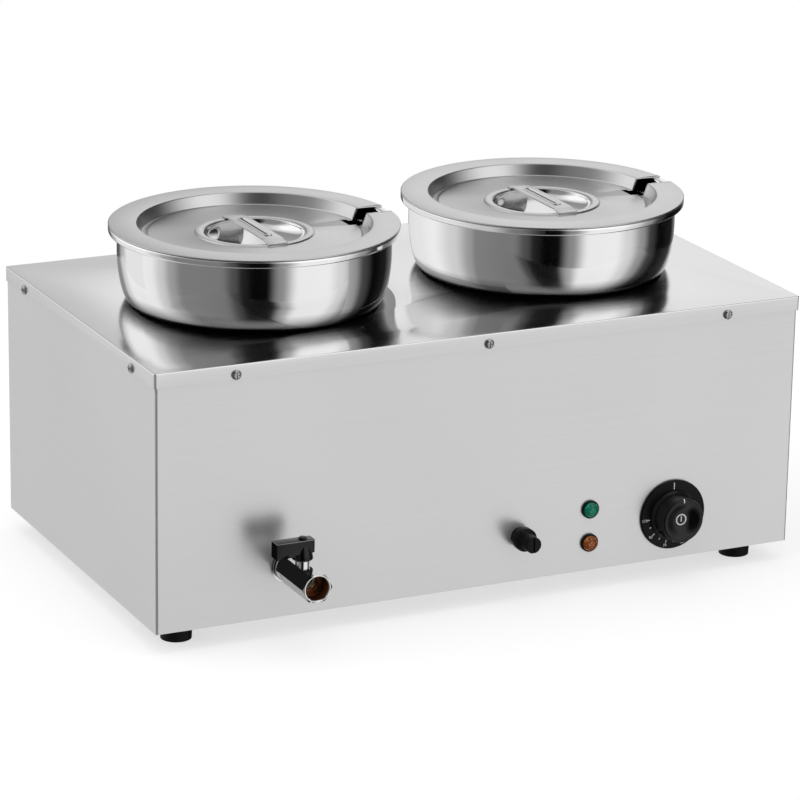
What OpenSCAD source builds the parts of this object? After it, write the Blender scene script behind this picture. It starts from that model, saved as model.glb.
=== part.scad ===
// Two pot bain-marie: a heated water bath in a steel casing, with a drain valve and a thermostat.
// The floor is at height zero, the front faces -Y and the length runs along X.

/* [Casing] */
// Distance from the tank to the casing's sides
side_room = 44; // [40:1:80]
// Outside depth of the casing from front to rear
casing_d = 355; // [350:1:400]
// Height from the casing's lower edge to the top of the deck
casing_h = 230; // [226:1:260]
// Thickness of the casing's sheets
sheet_t = 1; // [0.8:0.1:1.5]
// Outside radius of the bent vertical corners
corner_r = 2.5; // [2:0.5:5]
// Width of the flanges turned inwards round the casing's openings
flange_w = 14; // [12:1:16]
// Height of the turned down edge round the deck
deck_skirt_h = 13; // [12:1:18]
// Gap between the deck's turned down edge and the casing
deck_gap = 0.5; // [0.3:0.1:1]
// Height of the upturned lips of the base pan
pan_lip_h = 10; // [6:1:12]

/* [Feet] */
// Height of the feet below the casing
foot_h = 19; // [12:1:30]
// Diameter of a foot
foot_d = 29; // [24:1:32]
// Distance from the casing's sides to a foot's centre
foot_inset_x = 33; // [31:1:45]
// Distance from the casing's front and rear to a foot's centre
foot_inset_y = 36; // [31:1:45]

/* [Screws] */
// Diameter of the pan heads of the casing screws
screw_head_d = 8.6; // [7:0.1:10]
// Diameter of the casing screws' shanks
screw_d = 3.8; // [3:0.1:4.5]
// Distance from the middle screw on the front to the outer ones
front_screw_pitch = 235; // [200:1:270]
// Distance from the middle of a side to its screws
side_screw_pitch = 128.5; // [90:0.5:145]
// Height of the deck screws below the top of the deck
deck_screw_drop = 8.8; // [7:0.1:9]

/* [Pots] */
// Gap between the rims of the two pots
pot_gap = 27; // [10:1:60]
// Diameter of the pots' rolled rims
rim_d = 256; // [250:1:262]
// Width of the rim outside the wall
rim_overhang = 7.5; // [5:0.5:9]
// Thickness of the rolled edge of the rim
rim_bead_d = 4; // [3:0.5:5]
// Thickness of the pots' walls
pot_t = 1; // [0.8:0.1:1.5]
// Height of the pots' rims above the deck
pot_above = 67.5; // [60:0.5:80]
// Gap between the heater and the pots' bottoms
pot_clearance = 12; // [6:1:30]
// Width of the seat where a pot stands on the deck, round the cut-out
seat_w = 4.5; // [3:0.5:8]
// How far the belly swells out beyond the seat
belly_w = 11.5; // [6:0.5:16]
// Height of the curved belly above the deck
belly_h = 45; // [30:1:55]
// Radius between a pot's wall and its bottom
pot_bottom_r = 12; // [6:1:20]

/* [Lids] */
// Thickness of the lids
lid_t = 1.2; // [1:0.1:1.5]
// Width of a lid's flat rim
lid_flange_w = 25; // [20:1:32]
// Depth of the sunk middle
well_depth = 10.5; // [8:0.5:14]
// Width of the sloped and stepped edge of the sunk floor
well_edge_w = 9; // [7:0.5:12]
// Height of the step in the sunk floor
floor_step = 1.2; // [0.8:0.1:1.5]
// Width of the raised ring round the finger dish
ring_w = 8.5; // [6:0.5:12]
// Height of the raised ring
ring_h = 1.4; // [1:0.1:2]
// Diameter of the finger dish
dish_d = 88; // [80:1:92]
// Depth of the finger dish below the sunk floor
dish_depth = 14; // [10:1:20]
// Width of the ladle notch
notch_w = 19; // [14:1:24]
// How far the ladle notch reaches into the sunk floor
notch_reach = 6; // [3:1:14]
// Distance from the ring's edge to the ends of a strap handle
handle_inset = 0.5; // [0.5:0.5:3]
// Width of a strap handle
handle_w = 18; // [14:1:22]
// Thickness of a strap handle
handle_t = 1.6; // [1.2:0.1:2.5]
// Rise of the handle's grip above its ends
handle_rise = 3; // [2:0.5:6]
// Length of the raised rib pressed into the handle
handle_rib_l = 62; // [40:1:66]
// Width of the raised rib pressed into the handle
handle_rib_w = 7; // [5:0.5:9]

/* [Water tank] */
// Distance from the deck's cut-outs to the tank's ends
tank_end_room = 17; // [12:1:30]
// Outside depth of the tank from front to rear
tank_d = 252; // [240:1:258]
// Height of the tank below the deck
tank_h = 163; // [158:1:164]
// Thickness of the tank's sheet
tank_t = 1; // [0.8:0.1:1.5]
// Radius of the tank's vertical corners
tank_r = 14; // [8:1:20]
// Width of the tank's flange under the deck
tank_flange_w = 12; // [8:1:14]

/* [Heater] */
// Diameter of the heater's tube
heater_d = 8; // [6.5:0.1:8.5]
// Distance between neighbouring legs of the heater
heater_leg_pitch = 50; // [44:1:54]
// Distance from the tank's middle to the centres of the heater's bends
heater_reach = 200; // [170:1:215]
// Height of the heater's centre line above the tank's floor
heater_lift = 9; // [8:0.5:10]
// Length of the heater's ends outside the tank
heater_tail = 14; // [11:1:18]

/* [Drain valve] */
// Distance from the casing's middle to the valve's axis
valve_x = -187; // [-200:1:-170]
// Height of the tank's underside above the valve's axis
drain_drop = 20; // [16:1:24]
// Distance from the front to the valve's mouth
valve_reach = 64; // [61:1:72]
// Width across the flats of the valve's body
valve_flats = 24; // [23.5:0.5:26]
// Diameter of the valve's round collars
valve_collar_d = 27; // [25:0.5:29]
// Diameter of the threaded outlet
outlet_d = 21; // [19:0.1:21.5]
// Depth of the threaded outlet
outlet_depth = 14; // [10:1:15]
// Diameter of the drain pipe
pipe_d = 21; // [19:0.1:21]
// Diameter of the way through the drain pipe
pipe_bore_d = 14; // [10:0.5:15]
// Diameter of the ball
ball_d = 18; // [16:0.5:18]
// Diameter of the way through the ball
ball_bore_d = 11; // [8:0.5:11.5]
// Distance from the front to the ball's centre
ball_u = 32; // [31:0.5:34]
// Diameter of the valve's stem
stem_d = 6; // [5:0.5:7]
// Length of the lever from the stem's axis to its tip
lever_l = 26; // [22:1:34]
// Width of the lever
lever_w = 12; // [10:0.5:14]
// Height of the lever's top above the valve's axis
lever_top = 37; // [35:0.5:42]

/* [Controls] */
// Height of the fuse, lamps and dial above the casing's lower edge
control_z = 41.5; // [40:0.5:44]
// Distance from the casing's middle to the fuse holder
fuse_x = 35; // [20:1:50]
// Distance from the casing's middle to the lamps
lamp_x = 104; // [90:1:120]
// Distance between the two lamps
lamp_pitch = 31; // [22:1:34]
// Distance from the casing's middle to the dial
dial_x = 187; // [170:1:200]
// Diameter of the fixed dial plate
dial_plate_d = 64; // [60:1:70]
// Thickness of the dial plate
dial_plate_t = 2.8; // [2.6:0.1:4]
// Diameter of the knob at its foot
knob_d = 46; // [42:1:47]
// Distance from the front to the knob's face
knob_reach = 22; // [19:1:28]
// Diameter of the thermostat's shaft
shaft_d = 6; // [5:0.5:7]
// Diameter of a lamp's bezel
bezel_d = 16.5; // [15:0.5:18]
// Diameter of a lamp's body
lamp_body_d = 13; // [12:0.5:13.5]
// Diameter of a lamp's lens
lens_d = 11.5; // [9:0.5:12]
// Distance from the front to a lens's tip
lens_reach = 5.4; // [4.5:0.1:7]
// Diameter of the fuse cap's grip ring
fuse_ring_d = 21; // [19:0.5:23]
// Diameter of the fuse cap's slotted nose
fuse_nose_d = 14.6; // [12:0.2:16]
// Distance from the front to the fuse cap's slotted face
fuse_reach = 28; // [24:1:32]
// Diameter of the fuse link
fuse_link_d = 6.3; // [5:0.1:6.4]
// Length of the fuse link
fuse_link_l = 32; // [30:0.5:32]

/* [Cable entry] */
// Distance from the casing's middle to the cable gland
gland_x = 200; // [190:1:215]
// Diameter of the way through the gland
gland_bore_d = 8.5; // [6:0.5:10]
// Distance from the rear to the gland's mouth
gland_reach = 22; // [18:1:30]

/* [Fits] */
// Gap between a threaded or pushed in piece and its socket, on the radius
thread_gap = 0.05; // [0.03:0.01:0.1]
// Gap between a fixed piece and the sheet that it passes through, on the radius
hole_gap = 0.3; // [0.2:0.05:0.5]
// Gap between pieces that rest on each other and move apart
seat_gap = 0.2; // [0.1:0.05:0.3]
// Gap between curved faces that move past each other
slide_gap = 0.3; // [0.25:0.05:0.5]

/* [Hidden] */
$fn = 64;

// Sizes that follow from the pots and the tank
wall_r = rim_d / 2 - rim_overhang;
seat_r = wall_r - belly_w;
deck_hole_r = seat_r - seat_w;
deck_hole_gap = 1;
low_r = deck_hole_r - deck_hole_gap;
pot_pitch = rim_d + pot_gap;
tank_w = pot_pitch + 2 * deck_hole_r + 2 * tank_end_room;
casing_w = tank_w + 2 * side_room;

// Frame: the middle of the whole depth, from the valve's mouth to the gland's mouth, is at y = 0
mid_y = (valve_reach - gland_reach) / 2;
front_y = mid_y - casing_d / 2;
rear_y = mid_y + casing_d / 2;
base_z = foot_h;
deck_z = base_z + casing_h;
deck_under_z = deck_z - sheet_t;
overhang = deck_gap + sheet_t;
pan_z = base_z + sheet_t;
pan_top_z = pan_z + sheet_t;
cut = 1;
drill = 10;

// Screws
head_h = 2.4;
cross_l = 5;
cross_w = 0.9;
cross_depth = 1.1;
deck_screw_z = deck_z - deck_screw_drop;
base_screw_pitch = 158;
base_screw_inset = 8;
base_head_h = 1.6;
base_shank_l = 7;
casing_shank_l = 8;
rear_screw_z = [base_z + 20, deck_z - 30];
rear_screw_x = casing_w / 2 - sheet_t - flange_w / 2;
foot_screw_d = 5;
foot_recess_d = 12;
foot_recess_h = 8;

// Tank
tank_bottom_z = deck_under_z - tank_h;
tank_floor_z = tank_bottom_z + tank_t;
tank_front_y = mid_y - tank_d / 2;
heater_z = tank_floor_z + heater_lift;
heater_top_z = heater_z + heater_d / 2;
heater_leg_y = [for (i = [0:3]) (i - 1.5) * heater_leg_pitch];
element_nut_flats = 17;
element_nut_h = 5;
element_washer_t = 2;
heater_stud_d = 4;
heater_stud_l = 9;
insulator_h = 3;
rest_w = 12;

// Pots, measured from the top of the deck
pot_below = deck_z - heater_top_z - pot_clearance;
rim_z = deck_z + pot_above;
wall_edges = 128;

// Lids, measured from the plane of the pot's rim
lid_under = seat_gap;
lid_top = lid_under + lid_t;
lid_edge = 0.4;
well_r = rim_d / 2 - lid_flange_w;
well_slope_w = 3;
floor_r = well_r - well_edge_w;
step_z = lid_top - well_depth;
floor_z = step_z + floor_step;
dish_r = dish_d / 2;
ring_r = dish_r + ring_w;
handle_l = 2 * (ring_r - handle_inset);
handle_foot_l = 8;
handle_ramp_l = 6;
handle_rib_h = 0.7;

// Drain
valve_axis_z = tank_bottom_z - drain_drop;
valve_z = valve_axis_z - base_z;
elbow_inset = 25;
elbow_back = tank_front_y - front_y + elbow_inset;
drain_nut_flats = 30;
elbow_wall = 3.5;
elbow_r = pipe_d / 2 + elbow_wall;
pipe_start = 14;
pipe_depth = elbow_back - 12;
drain_nut_h = 4;
escutcheon_t = 2;
locknut_t = 5;
cavity_r = ball_d / 2 + 1;
seat_bore_r = ball_bore_d / 2 + 0.6;
seat_face = sqrt(pow(ball_d / 2 + slide_gap, 2) - pow(seat_bore_r, 2));
seat_ring_t = 3.6;
retainer_t = 3;
cavity_back = ball_u - seat_face - seat_ring_t;
cavity_front = ball_u + seat_face + seat_ring_t + retainer_t + thread_gap;
boss_d = 15;
boss_top = valve_flats / 2 + 4;
collar_l = 5;
mouth_bevel = 1.6;
packing_flats = 13;
packing_h = 5;
packing_top = boss_top + packing_h;
stem_flat = 4;
lever_bar_h = 9;
lever_skirt_h = 17.5;
lever_skirt_t = 5;
lever_web_t = 4;
lever_screw_d = 3;
hub_r = 8.6;
hub_foot_r = 7;
hub_bottom = packing_top + seat_gap;

// Controls, measured outwards from the front
knob_gap = seat_gap + 0.1;
knob_foot = dial_plate_t + knob_gap;
knob_face_r = knob_d / 2 - 1.6;
shaft_back = -8;
thermostat_w = 44;
thermostat_h = 36;
thermostat_depth = 27;
bracket_t = 1.5;
thermostat_screw_pitch = 14;
thermostat_screw_d = 4;
thermostat_head_d = 7;
thermostat_head_h = 1.8;
dial_pocket_d = 40;
dial_pocket_depth = 2;
mark_h = 0.2;
mark_inner_r = knob_d / 2 + 0.8;
zero_mark_l = 6.2;
major_mark_l = 3;
minor_mark_l = 1.8;
mark_w = 0.8;
scale_first_angle = 125;
scale_step_angle = 35;
scale_majors = 5;
knob_bore_end = knob_reach - 7;
knob_dish_r = knob_face_r - 2.6;
knob_dish_depth = 4.8;
dot_d = 6;
bezel_h = 2.6;
bezel_bevel = 0.8;
lamp_depth = 24;
lamp_nut_h = 2.5;
fuse_flange_d = 17;
fuse_flange_h = 6;
fuse_body_d = 15;
fuse_body_depth = 40;
fuse_ring_h = 9;
fuse_plug_d = 11;
fuse_plug_depth = 6;
fuse_grip_depth = 4;
fuse_nut_h = 4;
blade_w = 4.8;
blade_t = 0.8;
blade_l = 8;

// Gland
gland_z = control_z;
gland_thread_d = 20;
gland_flats = 24;
gland_hex_h = 5;
gland_dome_d = 22;
gland_inner = 10;
gland_nut_h = 4;
gland_nose_h = 6;
gland_nose_w = 4;

// Capillary: down from the thermostat's top, through the tank's front wall and on to the bulb
capillary_d = 2;
capillary_thread_d = 8;
capillary_flats = 12;
capillary_nut_h = 3;
capillary_shift = 12;
capillary_lift = 3;
capillary_x = dial_x + capillary_shift;
capillary_z = heater_top_z + capillary_lift;
bulb_d = 6;
bulb_l = 70;
bulb_lift = 3;
bulb_z = tank_floor_z + bulb_d / 2 + bulb_lift;
bulb_y = mid_y - heater_leg_pitch;
bulb_end = 85;
bulb_x1 = heater_reach / 2 + bulb_end;
bulb_clip_w = 8;
bulb_clip_inset = 16;
thermostat_top_z = base_z + control_z + thermostat_h / 2;
capillary_front_y = front_y + sheet_t + bracket_t + thermostat_depth / 2;
capillary_route = [
    [capillary_x, capillary_front_y, thermostat_top_z],
    [capillary_x, capillary_front_y, capillary_z],
    [capillary_x, bulb_y, capillary_z],
    [capillary_x, bulb_y, bulb_z],
    [bulb_x1, bulb_y, bulb_z]];

// Cutout pressed against the underside of the tank
cutout_x = 120;
cutout_y = mid_y - 40;
cutout_d = 16;
cutout_h = 9;
cutout_ear_l = 34;

// Terminal block and earth stud on the base pan
block_x = 232;
block_y = rear_y - 60;
block_size = [40, 22, 14];
block_pitch = 12;
block_socket_d = 5;
block_socket_depth = 4;
earth_d = 5;
earth_l = 14;
earth_nut_h = 4;

// Wires from the block to the fuse, to the thermostat, to the cutout, to the heater and back to the block
wire_d = 2.6;
wire_lead = 8;
wire_low_z = pan_top_z + 24;
wire_high_z = pan_top_z + 32;
wire_floor_z = pan_top_z + 12;
lamp_blade = 3;
fuse_blade = 3;
thermostat_blade = 12;
cutout_blade = 5;
control_abs_z = base_z + control_z;
fuse_back_y = front_y + fuse_body_depth + blade_l;
thermostat_back_y = front_y + sheet_t + bracket_t + thermostat_depth + blade_l;
block_top_z = pan_top_z + block_size[2] - block_socket_depth;
cutout_end_z = tank_bottom_z - cutout_h - blade_l;
heater_end_x = tank_w / 2 + heater_tail + insulator_h + heater_stud_l / 2;
heater_stud_z = heater_z - heater_stud_d / 2 - seat_gap;
wire_front_y = fuse_back_y + 12;
fuse_wire_x = [fuse_x - fuse_blade, fuse_x + fuse_blade];
dial_wire_x = [dial_x - thermostat_blade, dial_x + thermostat_blade];
cutout_wire_x = [cutout_x - cutout_blade, cutout_x + cutout_blade];
heater_front_y = mid_y + heater_leg_y[0];
heater_rear_y = mid_y + heater_leg_y[3];
wire_routes = [
    [[block_x - block_pitch, block_y, block_top_z],
     [block_x - block_pitch, block_y, wire_low_z],
     [fuse_wire_x[1], block_y, wire_low_z],
     [fuse_wire_x[1], fuse_back_y + wire_lead, control_abs_z],
     [fuse_wire_x[1], fuse_back_y, control_abs_z]],
    [[fuse_wire_x[0], fuse_back_y, control_abs_z],
     [fuse_wire_x[0], wire_front_y, control_abs_z],
     [fuse_wire_x[0], wire_front_y, wire_floor_z],
     [dial_wire_x[0], wire_front_y, wire_floor_z],
     [dial_wire_x[0], thermostat_back_y + wire_lead, control_abs_z],
     [dial_wire_x[0], thermostat_back_y, control_abs_z]],
    [[dial_wire_x[1], thermostat_back_y, control_abs_z],
     [dial_wire_x[1], thermostat_back_y + wire_lead, control_abs_z],
     [cutout_wire_x[1], wire_front_y + 2 * wire_lead, wire_high_z],
     [cutout_wire_x[1], cutout_y, wire_high_z],
     [cutout_wire_x[1], cutout_y, cutout_end_z]],
    [[cutout_wire_x[0], cutout_y, cutout_end_z],
     [cutout_wire_x[0], cutout_y, wire_low_z],
     [heater_end_x, cutout_y, wire_low_z],
     [heater_end_x, heater_front_y, heater_stud_z - wire_lead],
     [heater_end_x, heater_front_y, heater_stud_z]],
    [[block_x + block_pitch, block_y, block_top_z],
     [block_x + block_pitch, block_y, wire_low_z],
     [heater_end_x, block_y, wire_low_z],
     [heater_end_x, heater_rear_y, heater_stud_z - wire_lead],
     [heater_end_x, heater_rear_y, heater_stud_z]]];

// A point on the front, seen from outside: local x is to the right, y is up and z is outwards
module on_front(x, z) {
    translate([x, front_y, base_z + z]) rotate([90, 0, 0]) children();
}

// A point on the rear, with local z pointing outwards
module on_rear(x, z) {
    translate([x, rear_y, base_z + z]) rotate([-90, 0, 0]) children();
}

// A round hole through whatever lies within reach of z = 0
module through_hole(r) {
    translate([0, 0, -drill / 2]) cylinder(r = r, h = drill);
}

module tube(outer_r, inner_r, h) {
    difference() {
        cylinder(r = outer_r, h = h);
        translate([0, 0, -cut]) cylinder(r = inner_r, h = h + 2 * cut);
    }
}

module hex(flats, h) {
    cylinder(r = flats / 2 / cos(30), h = h, $fn = 6);
}

module hex_nut(flats, bore_r, h) {
    difference() {
        hex(flats, h);
        translate([0, 0, -cut]) cylinder(r = bore_r, h = h + 2 * cut);
    }
}

// A block centred on x and y
module block(size) {
    translate([-size[0] / 2, -size[1] / 2, 0]) cube(size);
}

// Plan of a sheet box with two rounded front corners
module front_rounded(w, y0, y1, r) {
    translate([-w / 2, y0 + r]) square([w, y1 - y0 - r]);
    translate([-w / 2 + r, y0]) square([w - 2 * r, y1 - y0]);
    for (side = [-1, 1]) translate([side * (w / 2 - r), y0 + r]) circle(r);
}

// Plan with four rounded corners, centred between front and rear
module rounded_plan(w, d, r) {
    translate([-w / 2, mid_y - d / 2 + r]) square([w, d - 2 * r]);
    translate([-w / 2 + r, mid_y - d / 2]) square([w - 2 * r, d]);
    for (side = [-1, 1]) for (end = [-1, 1])
        translate([side * (w / 2 - r), mid_y + end * (d / 2 - r)]) circle(r);
}

// Points along an elliptic arc
function arc(x, y, rx, ry, from, to, steps) =
    [for (i = [0:steps]) let(a = from + (to - from) * i / steps) [x + rx * cos(a), y + ry * sin(a)]];

// A pan head with a cross recess, its seat at z = 0 and its shank pointing down
module pan_screw(head_d, head_height, shank_d, shank_l) {
    difference() {
        union() {
            cylinder(d = head_d, h = head_height * 0.45);
            translate([0, 0, head_height * 0.45])
                cylinder(d1 = head_d, d2 = head_d * 0.6, h = head_height * 0.55);
            translate([0, 0, -shank_l]) cylinder(d = shank_d, h = shank_l + head_height / 4);
        }
        for (turn = [0, 90]) rotate([0, 0, turn]) translate([0, 0, head_height - cross_depth])
            block([cross_l * head_d / screw_head_d, cross_w, 2 * cut]);
    }
}

// Places of the deck's screws: three in front, two on each side and three behind
module at_deck_screws() {
    for (x = [-front_screw_pitch, 0, front_screw_pitch]) {
        translate([x, front_y - overhang, deck_screw_z]) rotate([90, 0, 0]) children();
        translate([x, rear_y + overhang, deck_screw_z]) rotate([-90, 0, 0]) children();
    }
    for (side = [-1, 1]) for (end = [-1, 1])
        translate([side * (casing_w / 2 + overhang), mid_y + end * side_screw_pitch, deck_screw_z])
            rotate([0, side * 90, 0]) children();
}

// Places of the rear panel's screws
module at_rear_screws() {
    for (side = [-1, 1]) for (z = rear_screw_z)
        translate([side * rear_screw_x, rear_y, z]) rotate([-90, 0, 0]) children();
}

// Places of the base pan's screws, pointing down from the casing's lower flange
module at_base_screws() {
    for (x = [-base_screw_pitch, 0, base_screw_pitch])
        translate([x, front_y + base_screw_inset, base_z]) rotate([180, 0, 0]) children();
}

module at_feet() {
    for (side = [-1, 1]) for (end = [-1, 1])
        translate([side * (casing_w / 2 - foot_inset_x), mid_y + end * (casing_d / 2 - foot_inset_y), 0])
            children();
}

// Plan of the flange turned inwards round the front and the sides
module wrap_flange() {
    difference() {
        front_rounded(casing_w, front_y, rear_y - sheet_t, corner_r);
        translate([-casing_w / 2 + flange_w, front_y + flange_w])
            square([casing_w - 2 * flange_w, casing_d]);
    }
}

module front_holes() {
    on_front(valve_x, valve_z) through_hole(pipe_d / 2 + hole_gap);
    on_front(fuse_x, control_z) through_hole(fuse_body_d / 2 + hole_gap);
    for (s = [-1, 1]) lamp_place(s) through_hole(lamp_body_d / 2 + hole_gap);
    on_front(dial_x, control_z) {
        through_hole(shaft_d / 2 + 2);
        for (s = [-1, 1]) translate([s * thermostat_screw_pitch, 0, 0])
            through_hole(thermostat_screw_d / 2 + hole_gap);
    }
}

module casing_wrap() {
    wrap_h = casing_h - sheet_t;
    color("silver") difference() {
        union() {
            translate([0, 0, base_z]) linear_extrude(wrap_h) difference() {
                front_rounded(casing_w, front_y, rear_y - sheet_t, corner_r);
                front_rounded(casing_w - 2 * sheet_t, front_y + sheet_t, rear_y + cut, corner_r - sheet_t);
            }
            translate([0, 0, base_z]) linear_extrude(sheet_t) wrap_flange();
            translate([0, 0, deck_under_z - sheet_t]) linear_extrude(sheet_t) wrap_flange();
            for (side = [-1, 1])
                translate([side * (casing_w / 2 - flange_w / 2), rear_y - 1.5 * sheet_t, base_z + wrap_h / 2])
                    cube([flange_w, sheet_t, wrap_h], center = true);
        }
        front_holes();
        at_deck_screws() through_hole(screw_d / 2 + hole_gap / 2);
        at_rear_screws() through_hole(screw_d / 2 + hole_gap / 2);
        at_base_screws() through_hole(screw_d / 2 + hole_gap / 2);
    }
}

module rear_panel() {
    color("silver") difference() {
        translate([-casing_w / 2, rear_y - sheet_t, base_z])
            cube([casing_w, sheet_t, casing_h - sheet_t]);
        on_rear(gland_x, gland_z) through_hole(gland_thread_d / 2 + hole_gap);
        at_rear_screws() through_hole(screw_d / 2 + hole_gap / 2);
        at_deck_screws() through_hole(screw_d / 2 + hole_gap / 2);
    }
}

// The base pan lies on the casing's lower flanges, with upturned lips
module base_pan() {
    pan_w = casing_w - 2 * sheet_t - 2 * hole_gap;
    pan_d = casing_d - 3 * sheet_t - 2 * hole_gap;
    pan_y = mid_y - sheet_t / 2;
    pan_front = pan_y - pan_d / 2;
    pan_rear = pan_y + pan_d / 2;
    color("silver") difference() {
        translate([0, 0, pan_z]) linear_extrude(pan_lip_h)
            front_rounded(pan_w, pan_front, pan_rear, corner_r);
        translate([0, 0, pan_top_z]) linear_extrude(pan_lip_h)
            front_rounded(pan_w - 2 * sheet_t, pan_front + sheet_t, pan_rear - sheet_t, corner_r - sheet_t);
        at_base_screws() through_hole(screw_d / 2 + hole_gap / 2);
        at_feet() cylinder(r = foot_screw_d / 2 + hole_gap, h = pan_top_z + cut);
        earth_place() through_hole(earth_d / 2 + hole_gap);
    }
}

module top_deck() {
    deck_w = casing_w + 2 * overhang;
    deck_d = casing_d + 2 * overhang;
    color("lightgray") difference() {
        translate([0, 0, deck_z - deck_skirt_h]) linear_extrude(deck_skirt_h)
            rounded_plan(deck_w, deck_d, corner_r);
        translate([0, 0, deck_z - deck_skirt_h - cut]) linear_extrude(deck_skirt_h + cut - sheet_t)
            rounded_plan(deck_w - 2 * sheet_t, deck_d - 2 * sheet_t, corner_r - sheet_t);
        for (side = [-1, 1]) translate([side * pot_pitch / 2, mid_y, deck_under_z - cut])
            cylinder(r = deck_hole_r, h = sheet_t + 2 * cut);
        at_deck_screws() through_hole(screw_d / 2 + hole_gap / 2);
    }
}

module casing_screws() {
    color("dimgray") {
        at_deck_screws() pan_screw(screw_head_d, head_h, screw_d, casing_shank_l);
        at_rear_screws() pan_screw(screw_head_d, head_h, screw_d, casing_shank_l);
    }
}

module base_screws() {
    color("dimgray") at_base_screws() pan_screw(screw_head_d, base_head_h, screw_d, base_shank_l);
}

module feet() {
    color("black") at_feet() difference() {
        cylinder(d1 = foot_d - 2, d2 = foot_d, h = pan_z);
        translate([0, 0, -cut]) cylinder(d = foot_recess_d, h = foot_recess_h + cut);
        cylinder(r = foot_screw_d / 2 + thread_gap, h = pan_z + cut);
    }
}

module foot_screws() {
    nut_h = 4;
    color("gray") at_feet() {
        translate([0, 0, foot_recess_h]) mirror([0, 0, 1])
            pan_screw(foot_recess_d - 2.5, 3, foot_screw_d, pan_top_z - foot_recess_h + nut_h + 1);
        translate([0, 0, pan_top_z]) hex_nut(8, foot_screw_d / 2 + thread_gap, nut_h);
    }
}

module water_tank() {
    color("gainsboro") difference() {
        union() {
            translate([0, 0, tank_bottom_z]) linear_extrude(tank_h) rounded_plan(tank_w, tank_d, tank_r);
            translate([0, 0, deck_under_z - tank_t]) linear_extrude(tank_t)
                rounded_plan(tank_w + 2 * tank_flange_w, tank_d + 2 * tank_flange_w, tank_r);
        }
        translate([0, 0, tank_floor_z]) linear_extrude(tank_h)
            rounded_plan(tank_w - 2 * tank_t, tank_d - 2 * tank_t, tank_r - tank_t);
        translate([valve_x, front_y + elbow_back, tank_bottom_z - cut])
            cylinder(r = pipe_d / 2 + hole_gap, h = tank_t + 2 * cut);
        at_heater_ends() through_hole(heater_d / 2 + hole_gap);
        capillary_entry() through_hole(capillary_thread_d / 2 + hole_gap);
    }
}

// The heater's two ends on the tank's right wall, with local z pointing outwards
module at_heater_ends() {
    for (y = [heater_leg_y[0], heater_leg_y[3]])
        translate([tank_w / 2, mid_y + y, heater_z]) rotate([0, 90, 0]) children();
}

module heater_bend(x, y, turn) {
    translate([x, mid_y + y, heater_z]) rotate([0, 0, turn])
        rotate_extrude(angle = 180) translate([heater_leg_pitch / 2, 0]) circle(d = heater_d);
}

module heater_leg(x0, x1, y) {
    translate([x0, mid_y + y, heater_z]) rotate([0, 90, 0]) cylinder(d = heater_d, h = x1 - x0);
}

module heating_element() {
    tip = tank_w / 2 + heater_tail;
    color("slategray") {
        heater_leg(-heater_reach, tip, heater_leg_y[0]);
        heater_leg(-heater_reach, heater_reach, heater_leg_y[1]);
        heater_leg(-heater_reach, heater_reach, heater_leg_y[2]);
        heater_leg(-heater_reach, tip, heater_leg_y[3]);
        heater_bend(-heater_reach, -heater_leg_pitch, 90);
        heater_bend(heater_reach, 0, -90);
        heater_bend(-heater_reach, heater_leg_pitch, 90);
    }
}

// Channels on the tank's floor that carry the heater's legs
module element_rests() {
    rest_l = 3 * heater_leg_pitch + 2 * heater_d;
    rest_h = heater_lift - heater_d / 2;
    color("lightgray") for (side = [-1, 1])
        translate([side * heater_reach / 2, mid_y, tank_floor_z]) difference() {
            block([rest_w, rest_l, rest_h]);
            translate([0, 0, -cut]) block([rest_w - 2, rest_l + 2, rest_h]);
        }
}

module element_nuts() {
    bore = heater_d / 2 + thread_gap;
    color("goldenrod") at_heater_ends() {
        hex_nut(element_nut_flats, bore, element_nut_h);
        translate([0, 0, -tank_t - element_washer_t]) tube(element_nut_flats / 2, bore, element_washer_t);
    }
}

module element_terminals() {
    color("goldenrod") at_heater_ends() translate([0, 0, heater_tail]) {
        cylinder(d = heater_d - 1, h = insulator_h);
        translate([0, 0, insulator_h]) cylinder(d = heater_stud_d, h = heater_stud_l);
    }
}

// Elbow under the tank's floor, open upwards into the tank and forwards into the pipe
module drain_elbow() {
    bore = pipe_bore_d / 2;
    spigot_top = tank_floor_z + drain_nut_h + 1 - valve_axis_z;
    color("goldenrod") on_front(valve_x, valve_z) translate([0, 0, -elbow_back]) difference() {
        union() {
            sphere(r = elbow_r);
            cylinder(r = elbow_r, h = elbow_back - pipe_depth + 10);
            rotate([-90, 0, 0]) cylinder(r = elbow_r, h = tank_bottom_z - valve_axis_z);
            rotate([-90, 0, 0]) cylinder(r = pipe_d / 2, h = spigot_top);
        }
        sphere(r = bore);
        cylinder(r = bore, h = 60);
        translate([0, 0, elbow_back - pipe_depth]) cylinder(r = pipe_d / 2 + thread_gap, h = 60);
        rotate([-90, 0, 0]) cylinder(r = bore, h = 60);
    }
}

module drain_nut() {
    color("goldenrod") translate([valve_x, front_y + elbow_back, tank_floor_z])
        hex_nut(drain_nut_flats, pipe_d / 2 + thread_gap, drain_nut_h);
}

module drain_pipe() {
    color("goldenrod") on_front(valve_x, valve_z) translate([0, 0, -pipe_depth])
        tube(pipe_d / 2, pipe_bore_d / 2, pipe_depth + pipe_start);
}

module drain_locknut() {
    color("goldenrod") on_front(valve_x, valve_z) translate([0, 0, -sheet_t - locknut_t])
        hex_nut(drain_nut_flats, pipe_d / 2 + thread_gap, locknut_t);
}

module valve_escutcheon() {
    color("gainsboro") on_front(valve_x, valve_z)
        tube(valve_collar_d / 2 + 1.2, pipe_d / 2 + thread_gap, escutcheon_t);
}

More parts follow.
